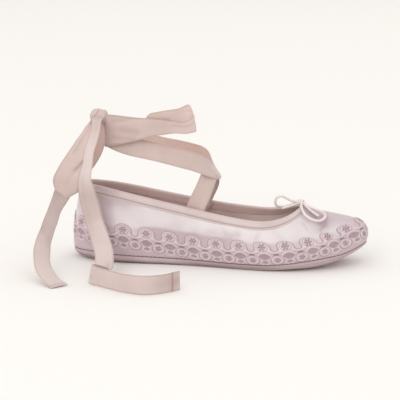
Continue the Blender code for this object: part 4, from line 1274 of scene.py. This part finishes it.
# rings of the underside: distances in from the outline, then shares of the rest of the way to the middle
SOLE_RINGS = (0.0, 0.25, 0.7, 1.4, 2.4, 3.4, 4.4, 5.0, 5.4, 5.7, 6.0, 6.3, 6.6, 7.0, 8.0, 9.5)
SOLE_SHARES = (0.12, 0.26, 0.42, 0.6, 0.78, 0.9, 1.0)
EDGE_SHARES = (0.30, 0.42, 0.55, 0.68, 0.80, 0.90, 0.97, 1.0)    # rings up the outsole's edge
FOREPART_STATIONS = (120.0, 190.0)
WAIST_STATIONS = ((80.0, 115.0), (160.0, 195.0))    # where the waist begins, and where it ends
EDGE_BULGE = 0.55                 # of the outsole's edge, beyond the outline
EDGE_LIP = 0.25                   # how far its top rim is drawn back in
EDGE_ROUNDING = (1.4, 0.9)        # reach and rise of its rounded lower corner
UNDERSIDE_SHADE_REACH = 5.0                  # of the painted shade underneath, from the outline
CHANNEL_PLACE = 6.0               # from the outline to the outsole's sewing channel
CHANNEL_WIDTH = 0.42
CHANNEL_DEPTH = 0.35
# rings of the footbed: shares of the way to the middle underneath, then distances and shares on top
INSOLE_UNDER_SHARES = (1.0, 0.5, 0.2, 0.05, 0.0)
INSOLE_RINGS = (0.0, 0.3, 0.9, 1.8, 2.6, 3.0, 3.4, 4.0, 5.0, 7.0)
INSOLE_SHARES = (0.12, 0.28, 0.46, 0.66, 0.84, 1.0)
INSOLE_GROOVE = (3.0, 0.45, 0.22)    # from the footbed's edge, its width and its depth
INSOLE_ROUNDING = 0.45            # of the footbed's thickness, at its edge
HEEL_PAD_STATION = 32.0
HEEL_PAD_SIZE = (26.0, 17.5)      # half its length and half its width
HEEL_PAD_HEIGHT = 0.5
HEEL_PAD_RIM = (-1.08, -0.92)     # over which it rises, in shares of its size
FEATHER_CLEARANCE = 0.5           # of the satin's and the rim's lower edges, above the feather edge
TUCK = 5.0                        # of the upper's edge below the topline, inside the binding
SATIN_GIRTH = 560                 # millimetres once around the upper, roughly
SEAM_WIDTH = 0.55                 # of the heel seam's groove
SEAM_DEPTH = 0.35
SEAM_RIDGE = (1.5, 0.7, 0.18)     # beside the groove: its place, width and height
LINING_GAP = 0.1                  # between the satin's back and the lining
LINING_PLAY = 0.05                # drawn in further from the wall's own thickness
LINING_WRINKLE = 0.10


def oval(x, y, size):
    """Roughly the distance in millimetres outside an ellipse, negative inside it."""
    return (np.hypot(x / size[0], y / size[1]) - 1) * min(size)


def leaf(x, y, size):
    """Roughly the distance in millimetres outside a pointed leaf, negative inside it."""
    return (np.abs(y) / size[1] + (x / size[0]) ** 2 - 1) * size[1] * 0.8


def rim_relief(run, rise, pitch, relief):
    """Height of the relief rim and depth of its tone, by distance round the shoe and up from its foot: the
    tone paints a highlight on the ridges and shade in the grooves and recesses.
    """
    beside_disc = (run + pitch / 2) % pitch - pitch / 2
    beside_low = run % pitch - pitch / 2
    disc = oval(beside_disc, rise - DISC_HEIGHT, DISC_SIZE)
    low = oval(beside_low, rise - LOW_DISC_HEIGHT, LOW_DISC_SIZE)
    big_leaf = leaf(beside_disc, rise - LEAF_HEIGHT, LEAF_SIZE)
    recess = np.minimum(big_leaf, leaf(beside_disc, rise - SEED_HEIGHT, SEED_SIZE))
    bud = oval(beside_low, rise - BUD_HEIGHT, BUD_SIZE)
    edge = rise - (NOTCH_HEIGHT - NOTCH_DIP * fade(beside_low, NOTCH_WIDTH))
    blend = np.clip(0.5 + 0.5 * (edge - disc) / DISC_BLEND, 0.0, 1.0)
    cover = edge * (1 - blend) + disc * blend - DISC_BLEND * blend * (1 - blend)
    on_rim = ease(-cover, *RIM_EDGE_STEP)
    ridge = fade(cover, *RIM_RIDGE) + fade(disc, *DISC_RIDGE)
    ridge += (0.9 * fade(low, *LOW_DISC_RIDGE) + 0.9 * fade(recess, *RECESS_RIDGE)) * on_rim
    ridge = np.clip(ridge, 0.0, 1.0)
    disc_groove = fade(disc, *DISC_GROOVE)
    height = relief * on_rim + RIDGE_HEIGHT * ridge - 0.25 * disc_groove
    height -= 0.28 * fade(low, *LOW_DISC_GROOVE) * on_rim + relief * 0.95 * ease(-recess, -0.15, 0.45)
    height -= 0.35 * ease(-bud, -0.1, 0.5)
    height = np.where(cover > 0.35, -0.2, height)
    shade = 0.45 * fade(cover, SHADE_WIDTH) + 0.45 * disc_groove + 0.5 * fade(low, SHADE_WIDTH, 0.28)
    shade += 0.35 * fade(recess, SHADE_WIDTH, 0.05) + 0.42 * ease(-recess, 0.0, 0.6)
    shade += 1.2 * ease(-bud, -0.2, 0.3)
    # tone: painted highlight on the ridges, painted shade along outlines, grooves and recesses, and the buds'
    # own dark
    return height, np.clip(0.42 * (1 - ridge) + 0.8 * shade, 0.0, 1.0)


def binding_slimness():
    """The binding's share of its full width at each of its lines: less around the throat."""
    from_throat = np.abs(line_angles(BINDING_LINES) - 180)
    return 1 - THROAT_SLIMMING * (1 - ease(from_throat, *SLIMMING_SPAN))


def sole_rings():
    """The sole's angles, its outline, and the distance from the outline to the middle line."""
    angles = line_angles(SOLE_LINES)
    plan = outline(angles)
    return angles, plan, np.linalg.norm(middle_line(plan[:, 0]) - plan, axis=1)


def further_in(part, shares):
    """Parts of the way to the middle line: the given shares of what is left of it."""
    return [part + (1 - part) * share for share in shares]


class BALLETFLAT_OT_throat_bow(bpy.types.Operator):
    """Ties the drawstring's bow at the throat: a standing loop, a lying loop and a knot with two ends"""

    bl_idname = "ballet_flat.throat_bow"
    bl_label = "Throat bow"

    def execute(self, context):
        diameter = sizes().cord_diameter / MM
        for shape, rows in (("standing_loop", STANDING_LOOP), ("lying_loop", LYING_LOOP)):
            mesh, middle = cord_mesh("throat_" + shape, rows, CORD_LOOP_SAMPLES, diameter)
            loop = add_piece("drawstring_" + shape, mesh, cord_weave(), "cord", "throat_" + shape)
        turn = np.linspace(0.4, 2 * math.pi * CORD_KNOT_TURNS, 40)
        span, side, height = CORD_KNOT_SIZE
        wrap = np.stack([(turn / turn[-1] - 0.5) * span, side * np.cos(turn), height * np.sin(turn)], 1)
        parts = [cord_mesh("knot_wrap", wrap + CORD_KNOT_CENTRE, CORD_KNOT_SAMPLES, diameter)[0]]
        for rows in (CORD_LEFT_END, CORD_RIGHT_END):
            parts.append(cord_mesh("knot_end", rows, CORD_KNOT_SAMPLES, diameter * CORD_END_SHARE)[0])
        tied = join_meshes("drawstring_knot", parts)
        knot = add_piece("drawstring_knot", tied, cord_weave(), "cord", "throat_knot")
        return {"FINISHED"}


class BALLETFLAT_OT_ribbon_bow(bpy.types.Operator):
    """Ties the ankle ribbon's bow: two loops, two long tails and the knot"""

    bl_idname = "ballet_flat.ribbon_bow"
    bl_label = "Ribbon bow"

    def execute(self, context):
        mesh = wrapped_knot_mesh("ribbon_knot_wrap", KNOT_CENTRE, KNOT_SIZE)
        centre = Matrix.Translation(place(KNOT_CENTRE))
        tilt = Matrix.Rotation(math.radians(KNOT_TILT), 4, "Y")
        mesh.transform(Matrix.Translation(np.array(KNOT_SHIFT) * MM) @ centre @ tilt @ centre.inverted())
        knot = add_piece("ribbon_knot_wrap", mesh, ribbon_satin(), "ribbon", "ribbon_knot")
        # last column: how much of a loop's inner face takes the lighter reverse colour, painted light for its
        # shade
        for name, stands_for, rows, marks, held, sag, reverse in (
                ("bow_wing", "ribbon_wing_loop", WING_LOOP, WING_MARKS, "folded", 0.0, 0.3),
                ("bow_heel_loop", "ribbon_heel_loop", HEEL_LOOP, HEEL_MARKS, "hung", 6.0, 0.75)):
            mesh, middle = ribbon_mesh(name, rows, LOOP_SAMPLES, square=False, gathers=LOOP_GATHERS,
                                       pinch=0.0, pleat=0.45, sag=sag, marks=marks, across=LOOP_ACROSS,
                                       reverse=reverse)
            loop = add_piece(name, mesh, ribbon_satin(), "ribbon", stands_for)
        for name, stands_for, rows, marks, hem, gathered in (
                ("bow_front_tail", "ribbon_front_tail", FRONT_TAIL, FRONT_TAIL_MARKS, sizes().hem / MM, 62.0),
                ("bow_side_tail", "ribbon_side_tail", SIDE_TAIL, SIDE_TAIL_MARKS, 2.0, 14.0)):
            mesh, middle = ribbon_mesh(name, rows, TAIL_SAMPLES, gathers=(gathered, 0.0), pleat=0.12,
                                       hem=hem, marks=marks, across=TAIL_ACROSS)
            tail = add_piece(name, mesh, lit_tail_satin(), "ribbon", stands_for)
        return {"FINISHED"}


class BALLETFLAT_OT_ankle_ribbon(bpy.types.Operator):
    """Lays the ribbon around the ankle, with a riser down into each quarter"""

    bl_idname = "ballet_flat.ankle_ribbon"
    bl_label = "Ankle ribbon"

    def execute(self, context):
        # the band's inner face takes the lighter reverse colour in full: painted light for the far side in
        # shade
        strips = [
            ribbon_mesh("ankle_band", ANKLE_BAND, BAND_SAMPLES, closed=True, crown=0.4, ripple=0.35,
                        reverse=1.0),
            ribbon_mesh("lateral_riser", LATERAL_RISER, RISER_SAMPLES, crown=0.3, ripple=0.2),
            ribbon_mesh("medial_riser", MEDIAL_RISER, RISER_SAMPLES, crown=0.3, ripple=0.2),
        ]
        joined = join_meshes("ankle_strap", [mesh for mesh, middle in strips])
        strap = add_piece("ankle_strap", joined, ribbon_satin(), "ribbon", "ankle_ribbon")
        return {"FINISHED"}


class BALLETFLAT_OT_outsole(bpy.types.Operator):
    """Cuts the thin leather outsole: turned-up toe, burnished edge, sewing channel, painted shade at edge and
    underside
    """

    bl_idname = "ballet_flat.outsole"
    bl_label = "Outsole"

    def execute(self, context):
        angles, plan, reach = sole_rings()
        station = plan[:, 0]
        forepart = ease(station, *FOREPART_STATIONS)
        waist = ease(station, *WAIST_STATIONS[0]) * (1 - ease(station, *WAIST_STATIONS[1]))
        parts = [distance / reach for distance in SOLE_RINGS]
        parts += further_in(parts[-1], SOLE_SHARES)
        rings, tones = [], []
        for part in parts[::-1]:
            away = part * reach
            channel = fade(away, CHANNEL_WIDTH, CHANNEL_PLACE)
            rounding = EDGE_ROUNDING[1] * np.clip(1 - away / EDGE_ROUNDING[0], 0.0, 1.0) ** 2
            rings.append(sole_point(angles, part, CHANNEL_DEPTH * channel + rounding))
            # painted shade on the underside near the edge, less toward the toe
            underside_shade = np.clip(1 - away / UNDERSIDE_SHADE_REACH, 0.0, 1.0) * (1 - 0.85 * forepart)
            tones.append(0.8 * channel + 0.75 * underside_shade)
        thick = sole_at("edge", station)
        normals = plan_normals(plan)
        for share in EDGE_SHARES:
            wall = sole_point(angles, 0 * reach, thick * share)
            bulge = EDGE_BULGE * math.sin(math.pi * share ** 1.4) - (EDGE_LIP if share == 1.0 else 0.0)
            wall[:, :2] += normals * bulge
            rings.append(wall)
            # the edge's tone: partly a burnished finish, partly painted shade darkening the lower wall and
            # the waist
            burnish_and_shade = 0.30 + 0.75 * max(0.75 - share, 0.0) + 0.4 * max(share - 0.93, 0.0) / 0.07
            tones.append(burnish_and_shade * (0.5 + 0.5 * waist) + 0.2 * waist)
        for part in parts[2::3] + [parts[-1]]:
            rings.append(sole_point(angles, part, sole_thickness(angles, part)))
            tones.append(np.zeros(SOLE_LINES))
        mesh = grid_mesh("leather_outsole", np.array(rings), {"tone": np.array(tones)})
        add_piece("leather_outsole", close_up(mesh, sharp=70.0), sole_leather(), "outsole", "outsole")
        return {"FINISHED"}


class BALLETFLAT_OT_insole(bpy.types.Operator):
    """Lays the leather footbed inside, with a soft heel pad and a grooved edge"""

    bl_idname = "ballet_flat.insole"
    bl_label = "Insole"
    inset: length_property("Inset", "From the outline to the footbed's edge", 0.0032)
    lift: length_property("Lift", "Above the outsole", 0.0005)
    thickness: length_property("Thickness", "Footbed leather and foam", 0.002)

    def execute(self, context):
        angles, plan, reach = sole_rings()
        edge = self.inset / MM / reach
        lift = self.lift / MM
        over = [edge + distance / reach for distance in INSOLE_RINGS]
        over += further_in(over[-1], INSOLE_SHARES)
        rings, tones = [], []
        for part in further_in(edge, INSOLE_UNDER_SHARES):
            rings.append(sole_point(angles, part, sole_thickness(angles, part) + lift))
            tones.append(np.zeros(SOLE_LINES))
        place_in, width, depth = INSOLE_GROOVE
        for part in over:
            away = (part - edge) * reach
            groove = fade(away, width, place_in)
            rounded = 1 - INSOLE_ROUNDING * np.clip(1 - away, 0.0, 1.0) ** 2
            top = self.thickness / MM * rounded - depth * groove
            ring = sole_point(angles, part, sole_thickness(angles, part) + lift + top)
            ahead, aside = (ring[:, 0] - HEEL_PAD_STATION) / HEEL_PAD_SIZE[0], ring[:, 1] / HEEL_PAD_SIZE[1]
            pad = ease(-np.hypot(ahead, aside), *HEEL_PAD_RIM)
            ring[:, 2] += HEEL_PAD_HEIGHT * pad
            rings.append(ring)
            tones.append(np.clip(0.6 * groove + 1.6 * pad * (1 - pad), 0.0, 1.0))
        mesh = grid_mesh("leather_insole", np.array(rings), {"tone": np.array(tones)})
        add_piece("leather_insole", close_up(mesh, sharp=70.0), footbed_leather(), "insole", "insole")
        return {"FINISHED"}


class BALLETFLAT_OT_upper(bpy.types.Operator):
    """Lasts the satin upper over its lining, creased where the shoe flexes and where the bow lies"""

    bl_idname = "ballet_flat.upper"
    bl_label = "Upper"

    def execute(self, context):
        lines = girth_lines(SATIN_LINES)
        share = np.linspace(0.0, 1.0, SATIN_ROWS)[:, None]
        heights = FEATHER_CLEARANCE + share * (distances(lines)[:, -1] - TUCK - FEATHER_CLEARANCE)
        creased, normals, plain = satin_surface(lines, heights)
        from_heel = np.minimum(np.arange(SATIN_LINES), SATIN_LINES - np.arange(SATIN_LINES))[None, :]
        seam = from_heel * SATIN_GIRTH / SATIN_LINES
        stitched = fade(seam, SEAM_WIDTH)
        ridge_place, ridge_width, ridge_height = SEAM_RIDGE
        raised = ridge_height * fade(seam, ridge_width, ridge_place) - SEAM_DEPTH * stitched
        face = creased + normals * raised[..., None]
        # the satin's tone: painted shade in its creases and in the shade patches above the rim, and a darker
        # line along the heel seam
        hollow = np.clip((satin_depth(plain) - 0.2) / 0.5, 0.0, 1.0)
        rise = heights - rim_lift(line_angles(SATIN_LINES))
        depth, reach = (read(RIM_SHADE, RIM_SHADE_COLUMNS, name, face[..., 0]) for name in ("depth", "reach"))
        shade = depth * (1 - ease(rise, reach - RIM_SHADE_STEP, reach))
        painted_shade = np.clip(satin_painted_shade(plain) + shade, 0.0, 1.0)
        tone = np.clip(0.22 * hollow + 0.6 * stitched + 0.75 * painted_shade, 0.0, 1.0)
        thickness = sizes().satin_thickness / MM
        shell = there_and_back(face, plain - normals * thickness)
        mesh = grid_mesh("satin_upper", shell, {"tone": there_and_back(tone, 0 * tone)}, wrap_rows=True)
        add_piece("satin_upper", close_up(mesh), pale_satin(), "upper", "upper")
        self.line_with_twill(plain[:, ::2], normals[:, ::2], thickness)
        return {"FINISHED"}

    def line_with_twill(self, plain, normals, thickness):
        """Lays the lining inside the satin, wrinkled a little: painted light on its colour, painted shade
        toward the heel.
        """
        outer = plain - normals * (thickness + LINING_GAP)
        inner = plain - normals * (sizes().wall / MM)
        waves = np.sin(inner[..., 0] / 3.1 + inner[..., 2] / 6.0) * ease(inner[..., 2], 10.0, 25.0)
        shell = there_and_back(outer, inner - normals * (LINING_WRINKLE * waves + LINING_PLAY)[..., None])
        painted_heel_shade = 0.42 * (1 - ease(shell[..., 0], 128.0, 165.0))
        mesh = grid_mesh("twill_lining", shell, {"tone": painted_heel_shade}, wrap_rows=True)
        add_piece("twill_lining", close_up(mesh), lining_twill(), "upper", "upper")


class BALLETFLAT_OT_relief_rim(bpy.types.Operator):
    """Wraps the scalloped relief rim around the upper, in two halves, with a rosette on every disc"""

    bl_idname = "ballet_flat.relief_rim"
    bl_label = "Relief rim"

    def execute(self, context):
        relief = sizes().rim_relief / MM
        lines = girth_lines(RIM_LINES)
        angles = line_angles(RIM_LINES)
        lift = rim_lift(angles)
        share = np.linspace(0.0, 1.0, RIM_ROWS)[:, None]
        heights = FEATHER_CLEARANCE + share * (RIM_REACH + lift - FEATHER_CLEARANCE)
        face, normals, plain = satin_surface(lines, heights)
        ring = points_up(lines, (RIM_GIRTH_HEIGHT + lift)[None, :])[0]
        run = distances(np.concatenate([ring, ring[:1]]))
        whole, run = run[-1], run[:-1]
        lateral, medial = (fade(angles, TOE_CLOSING_SPAN, centre) for centre in TOE_CLOSING_ANGLES)
        run += TOE_CLOSING * (lateral - medial)
        pitch = whole / round(whole / (sizes().rim_pitch / MM))
        height, tone = rim_relief(run, heights - lift, pitch, relief)
        foot = ease(heights, FEATHER_CLEARANCE, FEATHER_CLEARANCE + RIM_FOOT)
        height = height * foot - RIM_FOOT_SINK * (1 - foot)
        shell = there_and_back(face + normals * height[..., None], face - normals * RIM_BACK)
        tones = there_and_back(tone, 0 * tone)
        half = RIM_LINES // 2
        for name, columns in (("relief_rim_lateral", list(range(half + 1))),
                              ("relief_rim_medial", list(range(half, RIM_LINES)) + [0])):
            mesh = grid_mesh(name, shell[:, columns], {"tone": tones[:, columns]}, wrap_rows=True,
                             wrap_columns=False)
            self.close_ends(mesh, len(shell), len(columns))
            add_piece(name, close_up(mesh, weld=0.000001, sharp=75.0), relief_weave(), "upper")
        for name, start, rise, petals, lengths in (
                ("rim_rosettes", 0.0, DISC_HEIGHT, 6, ROSETTE),
                ("rim_low_rosettes", pitch / 2, LOW_DISC_HEIGHT, 5, LOW_ROSETTE)):
            at = np.arange(start, run[-1] + (run[1] - run[0]) - pitch / 4, pitch)
            spots = [int(np.argmin(np.abs(run - centre))) for centre in at]
            self.sew_rosettes(name, lines, rise + lift, spots, petals, lengths)
        return {"FINISHED"}

    def close_ends(self, mesh, rows, columns):
        """Closes the two open ends of a half of the rim with strips of faces."""
        shape = bmesh.new()
        shape.from_mesh(mesh)
        shape.verts.ensure_lookup_table()
        for column_index in (0, columns - 1):
            for row in range(rows // 2 - 1):
                ends = (row, row + 1, rows - 2 - row, rows - 1 - row)
                shape.faces.new([shape.verts[k * columns + column_index] for k in ends])
        shape.to_mesh(mesh)
        shape.free()

    def sew_rosettes(self, name, lines, height, spots, petals, lengths):
        """Grows a row of rosettes from points on the discs, which carry their facing and heading."""
        face, normals, plain = satin_surface(lines, height + np.linspace(-1.0, 1.0, 3)[:, None])
        along = unit(np.roll(face, -1, 1) - np.roll(face, 1, 1))
        stand = sizes().rim_relief / MM + 0.05
        points = bpy.data.meshes.new(name + "_points")
        points.from_pydata(place(face[1, spots] + normals[1, spots] * stand).tolist(), [], [])
        set_field(points, "facing", normals[1, spots], "FLOAT_VECTOR", "vector")
        set_field(points, "heading", along[1, spots], "FLOAT_VECTOR", "vector")
        settings = {label: length * MM for label, length in lengths.items()}
        settings.update({"Petals": petals, "Height": ROSETTE_HEIGHT * MM, "Thread": petal_thread()})
        grown = grown_mesh(name, bpy.data.objects.new(name + "_points", points), rosettes_tree(), settings)
        add_piece(name, grown, petal_thread(), "upper")


class BALLETFLAT_OT_binding(bpy.types.Operator):
    """Folds the binding over the edge of the opening, puffed by the cord inside and gathered a little"""

    bl_idname = "ballet_flat.binding"
    bl_label = "Binding"

    def section(self):
        """The folded binding's section: distances below the topline and out from the satin."""
        puff = sizes().binding_puff / MM
        width = sizes().binding_width / MM
        wall = sizes().wall / MM
        return (
            (width, -0.05), (width - 0.1, 0.24), (width - 0.4, 0.42), (width - 1.0, 0.46),
            (width - 1.6, 0.34), (width - BINDING_SEAM, 0.26), (width - 2.2, 0.36),
            (width - 2.6, puff * 0.72), (width - 3.4, puff * 0.96), (width - 4.6, puff),
            (width - 5.8, puff * 0.94), (width - 6.8, puff * 0.74), (0.6, puff * 0.42), (0.15, 0.0),
            (-0.1, -0.55), (-0.1, -1.35),
            (0.15, -wall - 0.02), (0.7, -wall - 0.35), (1.8, -wall - 0.5), (3.2, -wall - 0.5),
            (width - 1.8, -wall - 0.4), (width - 0.6, -wall - 0.32), (width, -wall - 0.05),
        )

    def execute(self, context):
        lines = girth_lines(BINDING_LINES)
        down = np.linspace(COLLAR_DEPTH, 0.0, round(COLLAR_DEPTH / COLLAR_STEP) + 1)[:, None]
        collar = points_down(lines, down)
        normals = skin_normals(collar)
        top, up = collar[-1], unit(collar[-1] - collar[-2])
        width = sizes().binding_width / MM
        wall = sizes().wall / MM
        angles = line_angles(BINDING_LINES)
        first, second = (np.radians(angles) * count for count in BINDING_GATHERS)
        height = GATHER_HEIGHT + THROAT_GATHER_HEIGHT * fade(angles, THROAT_SPAN, 180.0)
        gather = height * (np.sin(first) + 0.7 * np.sin(second + 1.0))
        slim = binding_slimness()[None, :]
        rings, tones, inner = [], [], []
        for below, out in self.section():
            foot = points_down(lines, below * slim)[0] if below > 0 else top - up * below
            row = len(down) - 1 - round(float(np.clip(below / COLLAR_STEP, 0, len(down) - 1)))
            puckered = out + gather * (1.0 if out > 0.3 else 0.3)
            rings.append(foot + normals[row] * puckered[:, None])
            # tone: painted shade in the seam's groove and a painted shadow line along the lower edge
            tone = 0.9 * fade(below, 0.4, width - BINDING_SEAM) * (out > 0) + 0.5 * (below >= width - 0.05)
            tones.append(np.full(BINDING_LINES, tone))
            inner.append(np.full(BINDING_LINES, float(out < -wall)))
        fields = {"tone": np.array(tones), "reverse": np.array(inner)}
        mesh = grid_mesh("folded_binding", np.array(rings), fields, wrap_rows=True)
        add_piece("folded_binding", close_up(mesh, sharp=80.0), binding_satin(), "binding", "topline_binding")
        return {"FINISHED"}


class BALLETFLAT_OT_stitching(bpy.types.Operator):
    """Sews the binding and the feather edge"""

    bl_idname = "ballet_flat.stitching"
    bl_label = "Stitching"

    def execute(self, context):
        lines = girth_lines(BINDING_LINES)
        seam = sizes().binding_width / MM - BINDING_SEAM
        down = np.linspace(seam + 0.5, seam - 0.5, 3)[:, None]
        collar = points_down(lines, down * binding_slimness())
        sewn_at = collar[1] + skin_normals(collar)[1] * STITCH_STAND
        sew_stitches("binding_stitches", sewn_at, sewing_thread(), "binding", sizes().stitch_pitch,
                     sizes().stitch_length, sizes().thread, 3)
        foot = points_up(lines, np.tile(np.array(FOOT_HEIGHTS)[:, None], BINDING_LINES))
        sewn_at = foot[1] + skin_normals(foot)[1] * FEATHER_STAND
        pitch, length = FEATHER_STITCH
        sew_stitches("feather_stitches", sewn_at, dark_thread(), "upper", pitch, length,
                     sizes().thread * FEATHER_THICKNESS, 7)
        return {"FINISHED"}


SENSOR_WIDTH = 36.0
NEAREST_SEEN = 0.02
BACKDROP_COLOUR = (1.0, 0.983, 0.95)
BACKDROP_STRENGTH = 0.975
LAMPS = (                         # name, place, size, power and colour
    ("key", (-1.4, -4.6, 2.4), 2.8, 64.0, (1.0, 0.985, 0.975)),
    ("rim", (1.35, 3.00, 3.00), 2.4, 6.0, (1.0, 0.98, 0.96)),
)
LAMP_AIM = (0.0, 0.0, 0.05)
FLOOR_REACH = 6.0                 # in metres, in front of the shoe and behind it
FLOOR_TURN = 3.0                  # radius with which it turns up behind
FLOOR_SIDE = 9.0
FLOOR_HEIGHT = 9.0


class BALLETFLAT_OT_studio(bpy.types.Operator):
    """Sets the pale floor, the soft lights and the camera"""

    bl_idname = "ballet_flat.studio"
    bl_label = "Studio"
    floor_colour: colour_property("Floor", "Colour of the floor", (0.925, 0.913, 0.90))
    eye: place_property("Camera", "Where the camera stands", (0.13819, -1.11822, 0.2743))
    aim: place_property("Aim", "What the camera looks at", (-0.01581, 0.00028, 0.0498))
    lens: bpy.props.FloatProperty(name="Lens", description="Focal length on a 36 mm wide sensor",
                                  default=124.2, subtype="DISTANCE_CAMERA")

    def execute(self, context):
        scene = context.scene
        camera_data = bpy.data.cameras.new("camera")
        camera_data.lens = self.lens
        camera_data.sensor_width = SENSOR_WIDTH
        camera_data.clip_start = NEAREST_SEEN
        scene.camera = self.stand(camera_data, self.eye, self.aim)
        scene.view_settings.view_transform = "Standard"
        world = bpy.data.worlds.new("studio")
        world.use_nodes = True
        backdrop = world.node_tree.nodes["Background"]
        backdrop.inputs["Color"].default_value = solid(BACKDROP_COLOUR)
        backdrop.inputs["Strength"].default_value = BACKDROP_STRENGTH
        scene.world = world
        for name, spot, size, power, colour in LAMPS:
            lamp = bpy.data.lights.new(name, "AREA")
            lamp.size = size
            lamp.energy = power
            lamp.color = colour
            self.stand(lamp, spot, LAMP_AIM)
        self.lay_floor(scene)
        return {"FINISHED"}

    def stand(self, data, spot, aim):
        """Stands a camera or a lamp at a spot, turned towards its aim."""
        stood = bpy.data.objects.new(data.name, data)
        stood.location = spot
        stood.rotation_euler = (Vector(aim) - Vector(spot)).to_track_quat("-Z", "Y").to_euler()
        bpy.context.scene.collection.objects.link(stood)
        return stood

    def lay_floor(self, scene):
        """A wide floor that turns up softly behind."""
        arc = [
            (FLOOR_REACH + FLOOR_TURN * math.sin(turn), FLOOR_TURN - FLOOR_TURN * math.cos(turn))
            for turn in np.linspace(0.0, math.pi / 2, 13)
        ]
        profile = [(-FLOOR_REACH, 0.0)] + arc + [(FLOOR_REACH + FLOOR_TURN, FLOOR_HEIGHT)]
        sides = (-FLOOR_SIDE, 0.0, FLOOR_SIDE)
        corners = [(side, depth, height) for depth, height in profile for side in sides]
        faces = [(3 * row + k, 3 * row + k + 1, 3 * row + k + 4, 3 * row + k + 3)
                 for row in range(len(profile) - 1) for k in range(2)]
        mesh = bpy.data.meshes.new("floor")
        mesh.from_pydata(corners, [], faces)
        mesh.shade_smooth()
        floor = bpy.data.objects.new("floor", mesh)
        material = bpy.data.materials.new("floor")
        material.use_nodes = True
        shader = material.node_tree.nodes["Principled BSDF"]
        shader.inputs["Base Color"].default_value = solid(self.floor_colour)
        shader.inputs["Roughness"].default_value = 0.9
        shader.inputs["Specular IOR Level"].default_value = 0.2
        mesh.materials.append(material)
        scene.collection.objects.link(floor)


class BALLETFLAT_PT_panel(bpy.types.Panel):
    """Lists the shoe's sizes, colours and pieces"""

    bl_idname = "BALLETFLAT_PT_panel"
    bl_label = "Ballet flat"
    bl_space_type = "VIEW_3D"
    bl_region_type = "UI"
    bl_category = "Ballet flat"

    def draw(self, context):
        for title, group in (("Sizes", sizes()), ("Colours", colours())):
            box = self.layout.box()
            box.label(text=title)
            for key in group.__annotations__:
                box.prop(group, key)
        for operator in OPERATORS:
            self.layout.operator(operator.bl_idname)


OPERATORS = (
    BALLETFLAT_OT_studio, BALLETFLAT_OT_throat_bow, BALLETFLAT_OT_ribbon_bow, BALLETFLAT_OT_ankle_ribbon,
    BALLETFLAT_OT_outsole, BALLETFLAT_OT_insole, BALLETFLAT_OT_upper, BALLETFLAT_OT_relief_rim,
    BALLETFLAT_OT_binding, BALLETFLAT_OT_stitching,
)
CLASSES = (BalletFlatSizes, BalletFlatColours) + OPERATORS + (BALLETFLAT_PT_panel,)


def register():
    for made in CLASSES:
        bpy.utils.register_class(made)
    bpy.types.Scene.ballet_flat_sizes = bpy.props.PointerProperty(type=BalletFlatSizes)
    bpy.types.Scene.ballet_flat_colours = bpy.props.PointerProperty(type=BalletFlatColours)


def unregister():
    del bpy.types.Scene.ballet_flat_colours
    del bpy.types.Scene.ballet_flat_sizes
    for made in reversed(CLASSES):
        bpy.utils.unregister_class(made)


def main():
    register()
    for made in OPERATORS:
        family, action = made.bl_idname.split(".")
        getattr(getattr(bpy.ops, family), action)()


if __name__ == "__main__":
    main()
